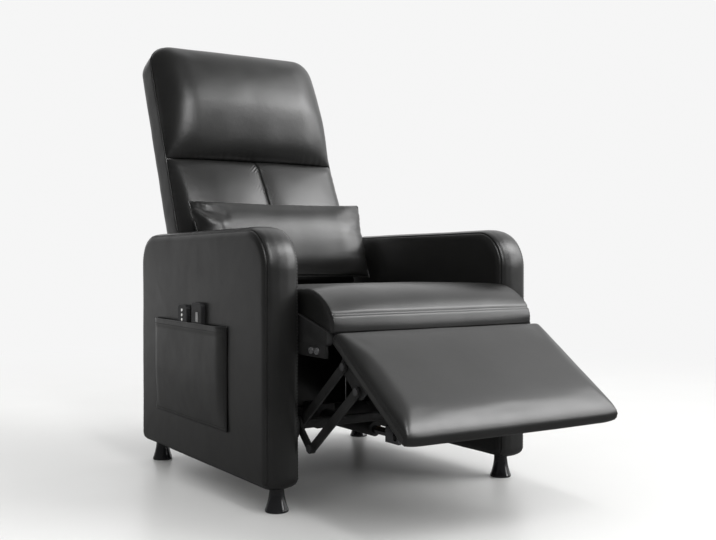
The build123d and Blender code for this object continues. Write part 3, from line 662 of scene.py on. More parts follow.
def table(vertices: bpy.types.MeshVertices, what: str) -> np.ndarray:
    """One property of all vertices as rows.

    Args:
        vertices: the mesh's vertices.
        what: the property, of three numbers.

    Returns:
        One row for each vertex.
    """
    flat = np.zeros(len(vertices) * 3)
    vertices.foreach_get(what, flat)
    return flat.reshape(-1, 3)


def places(piece: Piece) -> np.ndarray:
    """The piece's vertices as rows, in metres."""
    return table(piece.data.vertices, "co")


def outward(piece: Piece) -> np.ndarray:
    """The piece's vertex normals as rows."""
    return table(piece.data.vertices, "normal")


def picked(piece: Piece, numbers: Iterable[int]) -> Line:
    """Places of some of the piece's vertices, in millimetres."""
    return [Vector(piece.data.vertices[i].co) / MM for i in numbers]


def put(piece: Piece, spots: np.ndarray) -> None:
    """Moves the piece's vertices to these places."""
    piece.data.vertices.foreach_set("co", spots.astype(np.float32).ravel())
    piece.data.update()


def press(piece: Piece, rise: np.ndarray) -> None:
    """Moves the piece's vertices outwards by these millimetres."""
    put(piece, places(piece) + outward(piece) * (rise * MM)[:, None])


def ripple(piece: Piece, depth: float, size: float, seed: float) -> None:
    """Makes a surface softly uneven.

    Args:
        piece: the piece.
        depth: how far it moves at most, in millimetres.
        size: width of the unevenness, in millimetres.
        seed: where in the noise it starts.
    """
    start = Vector((seed, 0.0, 0.0))
    press(piece, depth * np.array([noise.noise(Vector(p) / (size * MM) + start) for p in places(piece)]))


def refine(piece: Piece) -> None:
    """Rounds the piece with one applied subdivision.

    Args:
        piece: the piece.
    """
    smooth = piece.modifiers.new("subdivision", "SUBSURF")
    smooth.levels = smooth.render_levels = 1
    graph = bpy.context.evaluated_depsgraph_get()
    mesh = bpy.data.meshes.new_from_object(piece.evaluated_get(graph))
    piece.modifiers.clear()
    piece.data = mesh
    mesh.shade_smooth()


@dataclass(frozen=True)
class Stuffing:
    """How a sewn cover is blown out by its filling."""

    pressure: float
    cap: float
    stiff: float = 20.0
    bend: float = 3.0
    frames: int = 20
    quality: int = 6
    mass: float = 0.3
    damping: float = 2.0
    ironed: int = 14
    kept: float = 0.4

    def even_out(self, piece: Piece, shift: np.ndarray) -> np.ndarray:
        """Irons small creases out of the cover's movement.

        Args:
            piece: the cover.
            shift: movement of each vertex.

        Returns:
            The ironed movement.
        """
        ends = np.zeros(len(piece.data.edges) * 2, dtype=np.int64)
        piece.data.edges.foreach_get("vertices", ends)
        one, two = ends.reshape(-1, 2).T
        count = np.bincount(ends, minlength=len(shift))[:, None]
        for _ in range(self.ironed):
            total = np.zeros_like(shift)
            np.add.at(total, one, shift[two])
            np.add.at(total, two, shift[one])
            shift = self.kept * shift + (1 - self.kept) * total / count
        return shift

    def sew_cloth(self, piece: Piece, held: np.ndarray) -> None:
        """Puts a cloth simulation on the cover.

        Args:
            piece: the closed cover.
            held: how firmly each vertex is held, from 0 to 1.
        """
        group = piece.vertex_groups.new(name="held")
        for level in np.unique(np.round(held, 2)):
            members = np.nonzero(np.round(held, 2) == level)[0]
            group.add([int(i) for i in members], float(level), "REPLACE")
        cloth = piece.modifiers.new("cover", "CLOTH")
        settings = cloth.settings
        settings.quality = self.quality
        settings.mass = self.mass
        settings.air_damping = self.damping
        settings.tension_stiffness = settings.compression_stiffness = self.stiff
        settings.shear_stiffness = self.stiff / 2
        settings.bending_stiffness = self.bend
        settings.use_pressure = True
        settings.uniform_pressure_force = self.pressure
        settings.effector_weights.gravity = 0.0
        settings.vertex_group_mass = group.name
        cloth.collision_settings.use_collision = False
        cloth.point_cache.frame_start = 1
        cloth.point_cache.frame_end = self.frames

    def fill(self, piece: Piece, held: np.ndarray) -> None:
        """Simulates the cover under pressure and keeps the result.

        Args:
            piece: the closed cover.
            held: how firmly each vertex is held, from 0 to 1.
        """
        before = places(piece)
        self.sew_cloth(piece, held)
        scene = bpy.context.scene
        for step in range(1, self.frames + 1):
            scene.frame_set(step)
        blown = piece.evaluated_get(bpy.context.evaluated_depsgraph_get())
        after = table(blown.to_mesh().vertices, "co")
        blown.to_mesh_clear()
        piece.modifiers.clear()
        piece.vertex_groups.clear()
        scene.frame_set(1)
        shift = self.even_out(piece, after - before)
        size = np.linalg.norm(shift, axis=1, keepdims=True)
        most = self.cap * MM
        put(piece, before + shift * np.where(size > 0, most * np.tanh(size / most) / np.maximum(size, 1e-9), 0.0))
        log.info("%s filled, moved up to %.1f mm", piece.name, float(size.max()) / MM)


class Needle:
    """Seams, gathers and rows of stitches on one piece."""

    drift: ClassVar[float] = 37.0  # length over which puckers change, in millimetres
    stray: ClassVar[float] = 1.2  # how far they stray, in pitches
    usual: ClassVar[float] = 0.55  # their usual strength
    vary: ClassVar[float] = 1.1  # how much it changes
    most: ClassVar[float] = 1.3  # their greatest strength
    flat: ClassVar[float] = 3.0  # smooth strip beside a seam, in millimetres
    thick: ClassVar[float] = 0.55  # half thickness of the thread, in millimetres
    cover: ClassVar[float] = 0.34  # half length of a stitch, in pitches
    flatness: ClassVar[float] = 0.7  # height of a stitch for its width
    sides: ClassVar[int] = 6
    bead: ClassVar[tuple[tuple[float, float, float], ...]] = (
        (-1.0, 0.45, -0.3),
        (-0.6, 1.0, 0.5),
        (0.6, 1.0, 0.5),
        (1.0, 0.45, -0.3),
    )  # place along a stitch, size and height there

    def __init__(self, piece: Piece) -> None:
        """Starts work on a piece in its final rough shape."""
        self.piece = piece
        self.stitches = Skin(f"{piece.name}_stitching")

    def near(self, line: Sequence[Vector]) -> tuple[np.ndarray, np.ndarray]:
        """How far each vertex lies from a line, and how far along it.

        Args:
            line: points of the line in millimetres.

        Returns:
            Distances and places along, in millimetres.
        """
        fine, along = even(line, SEAM_STEP)
        tree = KDTree(len(fine))
        for i, spot in enumerate(fine):
            tree.insert(spot, i)
        tree.balance()
        found = [tree.find(Vector(p) / MM) for p in places(self.piece)]
        return np.array([f[2] for f in found]), np.array([along[f[1]] for f in found])

    def groove(self, line: Sequence[Vector], depth: float, width: float) -> None:
        """Presses a narrow groove along a line.

        Args:
            line: points of the line in millimetres.
            depth: how deep, in millimetres.
            width: half width, in millimetres.
        """
        gap, _ = self.near(line)
        press(self.piece, -depth * np.exp(-((gap / width) ** 2)))

    def gather(self, line: Sequence[Vector], depth: float, reach: float, pitch: float, slant: float = 0.0) -> None:
        """Raises puckers that run away from a seam.

        Args:
            line: points of the seam in millimetres.
            depth: height of the puckers, in millimetres.
            reach: how far they run, in millimetres.
            pitch: their usual spacing, in millimetres.
            slant: how far they lean along the seam for each millimetre away from it.
        """
        gap, along = self.near(line)
        uneven = np.array([noise.noise(Vector((a / self.drift, depth, pitch))) for a in along])
        wave = np.sin(2 * math.pi * ((along + slant * gap) / pitch + self.stray * uneven))
        strength = np.clip(self.usual + self.vary * uneven, 0.0, self.most)
        press(self.piece, depth * wave * strength * np.exp(-gap / reach) * (1 - np.exp(-gap / self.flat)))

    def sew(self, line: Sequence[Vector], aside: float = 0.0, pitch: float = 6.5, closed: bool = False) -> None:
        """Lays a row of raised stitches along a line on the surface.

        Args:
            line: points of the line in millimetres.
            aside: how far to one side of the line, in millimetres.
            pitch: spacing of the stitches.
            closed: whether the line is a ring.
        """
        tree = BVHTree.FromObject(self.piece, bpy.context.evaluated_depsgraph_get())
        spots, _ = even(line, pitch, closed)
        count = len(spots)
        for i in range(count if closed else count - 1):
            here, there = spots[i], spots[(i + 1) % count]
            ahead = (there - here).normalized()
            surface, normal, _, _ = tree.find_nearest((here + there) / 2 * MM)
            if aside:
                side = normal.cross(ahead).normalized()
                surface, normal, _, _ = tree.find_nearest(surface + side * aside * MM)
            self.stitch(surface / MM, ahead, normal, self.cover * pitch)

    def sew_twice(self, line: Sequence[Vector], aside: float) -> None:
        """Lays a row of stitches on either side of a seam."""
        self.sew(line, aside)
        self.sew(line, -aside)

    def stitch(self, middle: Vector, ahead: Vector, up: Vector, half: float) -> None:
        """Adds one stitch: a short flat bead whose ends dip into the cover.

        Args:
            middle: its middle on the surface.
            ahead: direction of the seam.
            up: direction away from the surface.
            half: half its length.
        """
        ahead = (ahead - up * ahead.dot(up)).normalized()
        side = up.cross(ahead)
        flatter = up * self.flatness
        turns = [2 * math.pi * k / self.sides for k in range(self.sides)]
        rows = []
        for share, size, rise in self.bead:
            core = middle + ahead * (half * share) + up * (self.thick * rise)
            across = [side * math.cos(a) + flatter * math.sin(a) for a in turns]
            rows.append(self.stitches.row([core + way * (self.thick * size) for way in across]))
        self.stitches.drum(rows)

    def finish(self, body: Body, thread: Material) -> None:
        """Makes the stitches one piece that rides with the cover's body.

        Args:
            body: the body to ride on.
            thread: the thread's material.
        """
        made = self.stitches.make()
        made.data.materials.append(thread)
        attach(made, body.value)


def piping(name: str, line: Sequence[Vector], radius: float) -> Piece:
    """Makes a ring of piping cord along a line.

    Args:
        name: the piece's name.
        line: its middle line in millimetres.
        radius: its radius in millimetres.

    Returns:
        The new object.
    """
    spots, _ = even(line, PIPING_STEP, closed=True)
    turns = [2 * math.pi * k / PIPING_SIDES for k in range(PIPING_SIDES)]
    skin = Skin(name)
    rows = []
    side = (spots[1] - spots[-1]).orthogonal()
    for i, spot in enumerate(spots):
        ahead = (spots[(i + 1) % len(spots)] - spots[i - 1]).normalized()
        side = (side - ahead * side.dot(ahead)).normalized()
        other = ahead.cross(side)
        rows.append(skin.row([spot + (side * math.cos(a) + other * math.sin(a)) * radius for a in turns]))
    skin.sheet(rows + rows[:1], closed=True)
    return skin.make()


# Frames of the tilted sub-assemblies


@dataclass(frozen=True)
class Tilt:
    """A leaning frame: across the chair, along a sloping line, and out from it."""

    y: float
    z: float
    along: Flat
    out: Flat

    def at(self, x: float, along: float, out: float) -> Vector:
        """The row frame's point for a place in this frame."""
        y = self.y + self.along[0] * along + self.out[0] * out
        return Vector((x, y, self.z + self.along[1] * along + self.out[1] * out))


def leaning(y: float, z: float, degrees: float) -> Tilt:
    """Frame of the backrest: up along it, and forward from its middle plane."""
    lean = math.radians(degrees)
    return Tilt(y, z, (math.sin(lean), math.cos(lean)), (-math.cos(lean), math.sin(lean)))


def sloping(y: float, z: float, degrees: float) -> Tilt:
    """Frame of the footrest: down along its top from the seat, and out from its top face."""
    slope = math.radians(degrees)
    return Tilt(y, z, (-math.cos(slope), -math.sin(slope)), (-math.sin(slope), math.cos(slope)))


BACK = leaning(334.5, 385.0, 22.0)
FOOT = sloping(-406.3, 363.7, 34.5)


# Sub-assemblies


@dataclass
class Upholstered:
    """A sub-assembly that is covered in the chair's leather."""

    finishes: Finishes

    def dress(self, piece: Piece, body: Body, *nodes: str, fill: float = 0.0) -> None:
        """Gives a soft piece its cover and body, and hides the CAD nodes that it stands for.

        Args:
            piece: the finished piece.
            body: the body that it rides on.
            nodes: CAD nodes that it stands for.
            fill: how tightly it is stuffed, or 0 where it isn't padded; not used.
        """
        piece.data.materials.clear()
        piece.data.materials.append(self.finishes.leather)
        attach(piece, body.value)
        if nodes:
            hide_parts(*nodes)
        log.info("%s on %s, %d faces", piece.name, body.value, len(piece.data.polygons))

    def build(self) -> None:
        """Makes and dresses the sub-assembly's pieces."""
        raise NotImplementedError


@dataclass
class Arm(Upholstered):
    """One padded arm: two side panels joined by a sewn band that runs right round it."""

    side: str
    sign: int
    outer: float = 333.0
    thick: float = 78.0
    front: float = -272.5
    rear: float = 395.5
    foot: float = 49.5
    top: float = 562.0
    rear_drop: float = 9.0
    foot_corner: float = 20.5
    rear_corner: float = 72.0
    front_corner: float = 84.0
    edge: float = 20.0
    notch: float = 1.7
    stitch_turn: float = 8.5
    crown: float = 1.6
    puff: float = 1.6
    border: float = 6.0

    def outline(self) -> Rim:
        """The arm's side outline.

        Returns:
            Pairs of point and outward direction.
        """
        lower = ((self.front, self.foot, self.foot_corner), (self.rear, self.foot, self.foot_corner))
        upper = ((self.rear, self.top - self.rear_drop, self.rear_corner), (self.front, self.top, self.front_corner))
        return Outline(lower + upper).points()

    def turn(self, degrees: float, push: float = 0.0) -> Flat:
        """Depth and inset on the rounded edge.

        Args:
            degrees: place on the edge, from the side panel at 0 to the band at 90.
            push: how far it stands out there.

        Returns:
            Depth from the side panel and inset from the outline.
        """
        angle = math.radians(degrees)
        reach = self.edge + push
        return self.edge - reach * math.cos(angle), self.edge - reach * math.sin(angle)

    def levels(self) -> list[Flat]:
        """Steps across the arm.

        Returns:
            Depth and inset of each step, from the outer to the inner edge.
        """
        rolled = ((34.0, 0.35), (40.0, 0.1), (43.0, -1.0), (45.0, -self.notch), (47.0, -1.0), (50.0, 0.1), (56.0, 0.35))
        steps = [self.turn(degrees) for degrees in (0.0, 9.0, 18.0, 26.0)]
        steps += [self.turn(degrees, push) for degrees, push in rolled]
        steps += [self.turn(degrees) for degrees in (64.0, 72.0, 81.0, 90.0)]
        half = self.thick / 2
        room = half - self.edge
        steps += [(half + room * share, -self.crown * swell(share, power=2.4)) for share in (-0.7, -0.35)]
        mirrored = [(self.thick - depth, inset) for depth, inset in reversed(steps)]
        return steps + [(half, -self.crown)] + mirrored

    def ring(self, depth: float, inset: float) -> Line:
        """Points round the arm at one depth from its outer face."""
        x = self.sign * (self.outer - depth)
        return [Vector((x, y - ny * inset, z - nz * inset)) for (y, z), (ny, nz) in self.outline()]

    def panel(self, skin: Skin, rim: list[int], way: float) -> None:
        """Fills a side panel inside its rim with a slight crown.

        Args:
            skin: the piece being made.
            rim: numbers of the rim's points.
            way: 1 where the panel faces outwards from the chair, -1 where inwards.
        """
        middle = (self.foot + self.top) / 2
        reach = (self.top - self.foot) / 2 - self.border
        low, high = self.front + reach, self.rear - reach

        def inner(k: int, share: float) -> Vector:
            """Place of a rim point on a smaller ring.

            Args:
                k: the point's place round the rim.
                share: how far in the ring lies, from 0 at the rim to 1 in the middle.

            Returns:
                The place in millimetres.
            """
            spot = skin.points[rim[k]]
            place = spot.lerp(Vector((spot.x, min(high, max(low, spot.y)), middle)), share)
            place.x += self.sign * way * self.puff * (1 - (1 - share) ** 3)
            return place

        skin.fan(rim, (0.03, 0.08, 0.16, 0.28, 0.45, 0.66, 0.86, 0.96), inner)

    def build(self) -> None:
        """Makes the arm with its seams and stitches."""
        skin = Skin(f"{self.side}_arm")
        rows = [skin.row(self.ring(depth, inset)) for depth, inset in self.levels()]
        skin.sheet(rows, closed=True)
        self.panel(skin, rows[0], 1.0)
        self.panel(skin, rows[-1], -1.0)
        piece = skin.make()
        ripple(piece, depth=0.7, size=130.0, seed=3.0 * self.sign)
        ripple(piece, depth=0.25, size=34.0, seed=8.0 * self.sign)
        needle = Needle(piece)
        for turned in (45.0 - self.stitch_turn, 45.0 + self.stitch_turn):
            depth, inset = self.turn(turned)
            needle.sew(self.ring(depth, inset), closed=True)
            needle.sew(self.ring(self.thick - depth, inset), closed=True)
        needle.finish(Body.BASE, self.finishes.thread)
        self.dress(piece, Body.BASE, f"{self.side}_arm_cover", fill=0.85)


@dataclass
class Seat(Upholstered):
    """Seat cushion with a rolled front: crowned top panel, stitched front band and side panels."""

    half: float = 248.0
    front: float = -384.5
    rear: float = 270.0
    lip: float = 357.0
    seam: float = 397.0
    crest_y: float = -262.0
    crest: float = 447.0
    rear_z: float = 421.0
    hollow: float = 4.0
    roll_back: float = 29.0
    roll_up: float = 30.0
    deck: float = 390.0
    slope_start: float = -254.0
    box_front: float = -368.5
    box_lip: float = 4.0
    sink: float = 9.0
    tuck: float = 5.0
    lean: float = 8.0
    start_low: float = 6.0
    columns: int = 69
    top_steps: int = 58
    roll_steps: int = 22
    band_steps: int = 8
    edge_start: int = 30
    side_hold: float = 0.9
    stuffing: Stuffing = Stuffing(pressure=3.0, cap=7.0, stiff=25.0)

    def top_line(self, share: float) -> list[Flat]:
        """Upper profile from the rear to under the front lip at one place across.

        Args:
            share: place across, from -1 to 1.

        Returns:
            Profile points.
        """
        void = 1 - swell(share, power=3.0)
        sink, tuck = self.sink * void + self.start_low * (1 - void), self.tuck * void
        front = self.front + tuck
        lip = (front + 3, self.lip + tuck * 0.4)
        seam = (front + self.lean, self.seam - sink * 0.3)
        crest = (self.crest_y, self.crest - sink)
        rear = (self.rear - tuck * 0.5, self.rear_z - sink)
        turn = (front + self.lean + self.roll_back, self.seam + self.roll_up - sink * 0.8)
        dip = ((crest[0] + rear[0]) / 2, (crest[1] + rear[1]) / 2 + self.hollow)
        face = (front + 0.4 * self.lean - 1, (lip[1] + seam[1]) / 2)
        top = arc(crest, dip, rear, self.top_steps)[::-1]
        roll = arc(seam, turn, crest, self.roll_steps)[::-1]
        band = arc(lip, face, seam, self.band_steps)[::-1]
        return top + roll[1:] + band[1:]

    def under_line(self, count: int) -> list[Flat]:
        """Lower profile from the rear to the front of the box."""
        corner = (self.slope_start, self.deck)
        return run(((self.rear, self.deck), corner, (self.box_front, self.lip + self.box_lip)), count)

    def build(self) -> None:
        """Makes the seat cushion, fills it and sews its seams."""
        skin = Skin("seat_pad")
        tops, unders = [], []
        for share in spread(self.columns, crowd=0.7):
            x = self.half * share
            profile = self.top_line(share)
            tops.append(skin.row(Vector((x, y, z)) for y, z in profile))
            unders.append(skin.row(Vector((x, y, z)) for y, z in self.under_line(len(profile))))
        skin.sheet([top + under[::-1] for top, under in zip(tops, unders)], closed=True)
        for end in (0, -1):
            skin.between(tops[end], unders[end], (0.25, 0.5, 0.75))
        piece = skin.make()
        held = np.zeros(len(piece.data.vertices))
        for under in unders:
            held[under] = FAST
        for end in (0, -1):
            held[tops[end]] = self.side_hold
        self.stuffing.fill(piece, held)
        seam_row = self.top_steps + self.roll_steps - 2
        seam = picked(piece, [top[seam_row] for top in tops])
        edges = [picked(piece, tops[end][self.edge_start :]) for end in (0, -1)]
        refine(piece)
        ripple(piece, depth=0.8, size=90.0, seed=21.0)
        needle = Needle(piece)
        needle.groove(seam, depth=2.4, width=3.0)
        for line in edges:
            needle.groove(line, depth=1.3, width=3.0)
            needle.gather(line, depth=0.5, reach=16.0, pitch=17.0)
        needle.sew_twice(seam, aside=3.8)
        for line in edges:
            needle.sew_twice(line, aside=4.0)
        needle.finish(Body.BASE, self.finishes.thread)
        self.dress(piece, Body.BASE, "seat_cushion", fill=0.8)


@dataclass
class FootrestPad(Upholstered):
    """Footrest pad: a shallow boxed cushion over its board, its top falling away to soft edges."""

    half: float = 253.0
    length: float = 274.0
    under_seat: float = 12.0
    edge: float = 34.0
    height: float = 4.0
    fall: float = 16.0
    near_fall: float = 9.0
    side_fall: float = 17.0
    side_width: float = 40.0
    nose: float = 13.0
    nose_share: float = 0.8
    nose_pinch: float = 0.35
    near_pinch: float = 3.0
    far_pinch: float = 4.0
    foot_pinch: float = 4.0
    side_hold: float = 0.6
    columns: int = 69
    top_steps: int = 44
    nose_steps: int = 9
    stuffing: Stuffing = Stuffing(pressure=1.0, cap=0.8, stiff=30.0)

    def profile(self, share: float) -> tuple[list[Flat], list[Flat]]:
        """Upper and lower profile at one place across.

        Args:
            share: place across, from -1 to 1.

        Returns:
            Top points from the near to the far edge, and as many bottom points.
        """
        pinch = 1 - shoulder(self.half * (1 - abs(share)), self.side_width, power=2.0)
        foot = -self.edge + self.foot_pinch * pinch
        near, far = self.near_pinch * pinch - self.under_seat, self.length - self.far_pinch * pinch
        nose = self.nose * (1 - self.nose_pinch * pinch)

        def top(along: float) -> float:
            """Height of the top at one place along the pad.

            Args:
                along: the place along the pad, in millimetres.

            Returns:
                The height in millimetres.
            """
            reach = 2 * (along - near) / (far - near) - 1
            drop = self.fall * reach**6 if reach > 0 else -self.near_fall * reach**3
            return self.height - (drop**4 + (self.side_fall * pinch) ** 4) ** 0.25

        start, end = near + nose * self.nose_share, far - nose * self.nose_share
        over = [(a, top(a)) for a in np.linspace(start, end, self.top_steps)]
        first, last = (near + 2, foot), (far - 2, foot)
        rise = arc(first, (near - 1.5, (foot + top(start)) / 2 - 2), over[0], self.nose_steps)
        fall = arc(over[-1], (far + 1.5, (foot + top(end)) / 2 - 2), last, self.nose_steps)
        upper = rise + over[1:] + fall[1:]
        return upper, run((first, last), len(upper))

    def close_end(self, skin: Skin, top: list[int], under: list[int]) -> None:
        """Fills one end of the pad.

        Args:
            skin: the piece being made.
            top: numbers of the end's upper profile.
            under: numbers of the end's lower profile, without its ends.
        """
        rows = skin.between(top[1:-1], under, (0.35, 0.7))
        skin.cap([top[0]] + [row[0] for row in rows])
        skin.cap([top[-1]] + [row[-1] for row in rows][::-1])

    def build(self) -> None:
        """Makes the pad, fills it and sews its side seams."""
        skin = Skin("footrest_cushion")
        tops, unders = [], []
        for share in spread(self.columns, crowd=0.75):
            upper, lower = self.profile(share)
            x = self.half * share
            tops.append(skin.row(FOOT.at(x, a, o) for a, o in upper))
            unders.append(skin.row(FOOT.at(x, a, o) for a, o in lower[1:-1]))
        skin.sheet([top + under[::-1] for top, under in zip(tops, unders)], closed=True)
        for end in (0, -1):
            self.close_end(skin, tops[end], unders[end])
        piece = skin.make()
        held = np.zeros(len(piece.data.vertices))
        for top, under in zip(tops, unders):
            held[under] = FAST
            held[[top[0], top[-1]]] = FAST
        for end in (0, -1):
            held[tops[end]] = self.side_hold
        self.stuffing.fill(piece, held)
        edges = [picked(piece, tops[end]) for end in (0, -1)]
        refine(piece)
        ripple(piece, depth=0.7, size=100.0, seed=33.0)
        needle = Needle(piece)
        for line in edges:
            needle.groove(line, depth=1.0, width=3.0)
            needle.sew_twice(line, aside=3.6)
        needle.finish(Body.FOOTREST, self.finishes.thread)
        self.dress(piece, Body.FOOTREST, "footrest_pad", fill=0.8)


@dataclass
class Backrest(Upholstered):
    """Backrest: a boxed shell with piping, a full head cushion and a two-part lower cushion."""

    half: float = 244.0
    foot: float = 18.0
    flap: float = 30.0
    flap_lap: float = 14.0
    seam: float = 383.0
    top: float = 717.0
    corner: float = 58.0
    foot_corner: float = 8.0
    rear: float = -43.0
    rear_edge: float = 9.0
    rear_puff: float = 2.0
    side_crown: float = 0.9
    welt: float = 29.0
    welt_lap: float = 6.0
    front_sink: float = 6.0
    piping_radius: float = 1.9
    piping_proud: float = 0.2
    head_puff: float = 68.0
    head_belly: float = 0.44
    head_side: float = 95.0
    head_sag: float = 8.0
    head_thin: float = 0.5
    head_crown: float = 0.08
    cushion_depth: float = 8.0
    crease_hold: float = 0.92
    lumbar_puff: float = 64.0
    lumbar_edge: float = 30.0
    lumbar_flat: float = 0.46
    lumbar_crown: float = 0.34
    lumbar_halves: float = 0.17
    lumbar_low_bow: float = 0.66
    lumbar_high_bow: float = 0.60
    rows: int = 57
    head_columns: int = 83
    lumbar_columns: int = 41
    head_stuffing: Stuffing = Stuffing(pressure=4.0, cap=8.0)
    lumbar_stuffing: Stuffing = Stuffing(pressure=3.5, cap=5.0)

    def shell(self) -> None:
        """Makes the shell: side band, rounded rear edge, rear panel and piping."""
        rim = panel_rim(self.half, self.foot, self.top, self.foot_corner, self.corner)

        def ring(out: float, inset: float) -> Line:
            """Points round the shell at one depth."""
            return [BACK.at(x - nx * inset, u - nu * inset, out) for (x, u), (nx, nu) in rim]

        edge, depth = self.rear_edge, self.welt - self.rear
        turns = np.linspace(0, math.pi / 2, 6)
        levels = [(self.rear + edge * (1 - math.cos(a)), edge * (1 - math.sin(a))) for a in turns]
        band = (0.2, 0.35, 0.5, 0.65, 0.8, 0.93)
        levels += [(self.rear + depth * k, -self.side_crown * swell(2 * k - 1, power=2.0)) for k in band]
        levels += [(self.welt, 0.0), (self.welt, self.welt_lap)]
        skin = Skin("back_shell")
        rings = [skin.row(ring(out, inset)) for out, inset in levels]
        skin.sheet(rings, closed=True)
        heart, ahead = BACK.at(0.0, (self.foot + self.top) / 2, 0.0), Vector((0.0, *BACK.out))
        for border, bulge in ((rings[0], -self.rear_puff), (rings[-1], -self.front_sink)):

            def inner(k: int, share: float) -> Vector:
                """Place of a border point on a smaller ring of a panel.

                Args:
                    k: the point's place round the rim.
                    share: how far in the ring lies, from 0 at the rim to 1 in the middle.

                Returns:
                    The place in millimetres.
                """
                (x, u), _ = rim[k]
                wide = x / self.half * (1 - share)
                tall = (2 * (u - self.foot) / (self.top - self.foot) - 1) * (1 - share)
                spot = skin.points[border[k]]
                inwards = heart - spot
                inwards -= ahead * inwards.dot(ahead)
                return spot + inwards * share + ahead * bulge * (1 - wide**4) * (1 - tall**4)

            skin.fan(border, (0.04, 0.1, 0.2, 0.34, 0.5, 0.66, 0.82), inner)
        piece = skin.make()
        ripple(piece, depth=1.3, size=95.0, seed=41.0)
        ripple(piece, depth=0.5, size=30.0, seed=44.0)
        self.dress(piece, Body.BACK, "back_cover", fill=0.9)
        cord = piping("back_piping", ring(self.welt, -self.piping_proud), self.piping_radius)
        self.dress(cord, Body.BACK)

    def rear_flap(self) -> None:
        """Makes the skirt that hangs from the rear skin below the pivot."""
        rim = panel_rim(self.half - 1, -self.flap, self.foot + self.flap_lap, self.foot_corner, 1.0)
        skin = Skin("back_skirt")
        rings = []
        for out, inset in ((0.4, 3.0), (1.2, 0.8), (3.2, 0.0), (6.8, 0.0), (8.8, 0.8), (9.6, 3.0)):
            rings.append(skin.row(BACK.at(x - nx * inset, u - nu * inset, self.rear + out) for (x, u), (nx, nu) in rim))
        skin.drum(rings)
        self.dress(skin.make(), Body.BACK)

    def corner_drop(self, x: float) -> float:
        """How far the rounded top corner has fallen at a distance from the middle."""
        into = max(0.0, abs(x) - (self.half - self.corner))
        return self.corner - math.sqrt(max(0.0, self.corner**2 - into**2))

    def cushion(
        self, name: str, full: list[list[tuple[float, float, float]]], stuffing: Stuffing, creases: Sequence[int] = ()
    ) -> tuple[Piece, list[list[int]]]:
        """Makes a stuffed front cushion from its front points and fills it.

        Args:
            name: the piece's name.
            full: rows of front points across the back, as (across, up, forward).
            stuffing: how it is filled.
            creases: columns that are sewn through.

        Returns:
            The cushion and the vertex numbers of its front rows.
        """
        skin = Skin(name)
        front = [skin.row(BACK.at(*p) for p in row) for row in full]
        last, wide = len(full) - 1, len(full[0]) - 1
        rear = []
        for i, row in enumerate(full):
            numbers = []
            for k, (x, u, _) in enumerate(row):
                if i in (0, last) or k in (0, wide):
                    numbers.append(front[i][k])
                else:
                    numbers += skin.row([BACK.at(x, u, self.welt - self.cushion_depth)])
            rear.append(numbers)
        skin.sheet(front)
        skin.sheet(rear)
        piece = skin.make()
        held = np.zeros(len(piece.data.vertices))
        for row in rear:
            held[row] = FAST
        for row in front:
            for k in creases:
                held[row[k]] = self.crease_hold
        stuffing.fill(piece, held)
        return piece, front

    def head(self) -> None:
        """Makes the head cushion: fullest low down, rolled in at its lower seam."""
        low, belly_at = self.seam + 1, self.head_belly
        rows = []
        for t in spread(self.rows, crowd=0.65):
            height = (t + 1) / 2
            above = max(0.0, (height - belly_at) / (1 - belly_at))
            belly = shoulder(height, belly_at, power=1.6) * (1 - self.head_thin * above**1.6) * math.sqrt(1 - above**9)
            row = []
            for s in spread(self.head_columns, crowd=0.65):
                x = self.half * s
                top = self.top - self.corner_drop(x)
                full = belly * shoulder(self.half - abs(x), self.head_side) * (1 - self.head_crown * s * s)
                sag = -self.head_sag * full * (1 - height) ** 3
                row.append((x, low + (top - low) * height + sag, self.welt + self.head_puff * full))
            rows.append(row)
        piece, front = self.cushion("head_puff", rows, self.head_stuffing)
        low_seam = picked(piece, front[0])
        sides = [picked(piece, [row[k] for row in front]) for k in (0, -1)]
        refine(piece)
        ripple(piece, depth=1.0, size=85.0, seed=51.0)
        needle = Needle(piece)
        needle.gather(low_seam, depth=0.7, reach=16.0, pitch=21.0)
        for line in sides:
            needle.gather(line, depth=0.5, reach=22.0, pitch=27.0, slant=0.5)
        self.dress(piece, Body.BACK, "head_cushion", fill=0.85)

    def lumbar(self) -> None:
        """Makes the lower cushion: two full halves with one gathered seam between them."""
        low, high, edge = self.foot + 2, self.seam, self.lumbar_edge
        shares = spread(self.lumbar_columns, crowd=0.6)
        across = [(s - 1) / 2 for s in shares] + [(s + 1) / 2 for s in shares[1:]]
        middle = self.lumbar_columns - 1
        rows = []
        for t in spread(self.rows, crowd=0.6):
            height = (t + 1) / 2
            bow = 1 - self.lumbar_low_bow * max(0.0, 1 - 2 * height) ** 2
            bow -= self.lumbar_high_bow * max(0.0, 2 * height - 1) ** 1.6
            rise = bow * shoulder((high - low) * min(height, 1 - height), edge)
            row = []
            for s in across:
                full = self.lumbar_flat + self.lumbar_crown * (1 - s * s)
                full += self.lumbar_halves * swell(2 * abs(s) - 1, power=2.0)
                full *= rise * shoulder(self.half * (1 - abs(s)), edge)
                row.append((self.half * s, low + (high - low) * height, self.welt + self.lumbar_puff * full))
            rows.append(row)
        piece, front = self.cushion("lower_puff", rows, self.lumbar_stuffing, (middle,))
        seam, *sides = (picked(piece, [row[k] for row in front]) for k in (middle, 0, -1))
        refine(piece)
        ripple(piece, depth=0.9, size=80.0, seed=61.0)
        needle = Needle(piece)
        needle.groove(seam, depth=2.6, width=3.0)
        needle.gather(seam, depth=2.2, reach=15.0, pitch=9.0, slant=0.9)
        for line in sides:
            needle.gather(line, depth=0.5, reach=18.0, pitch=24.0, slant=0.5)
        self.dress(piece, Body.BACK, "lumbar_cushion", fill=0.75)

    def build(self) -> None:
        """Makes all the backrest's pieces."""
        self.shell()
        self.rear_flap()
        self.head()
        self.lumbar()


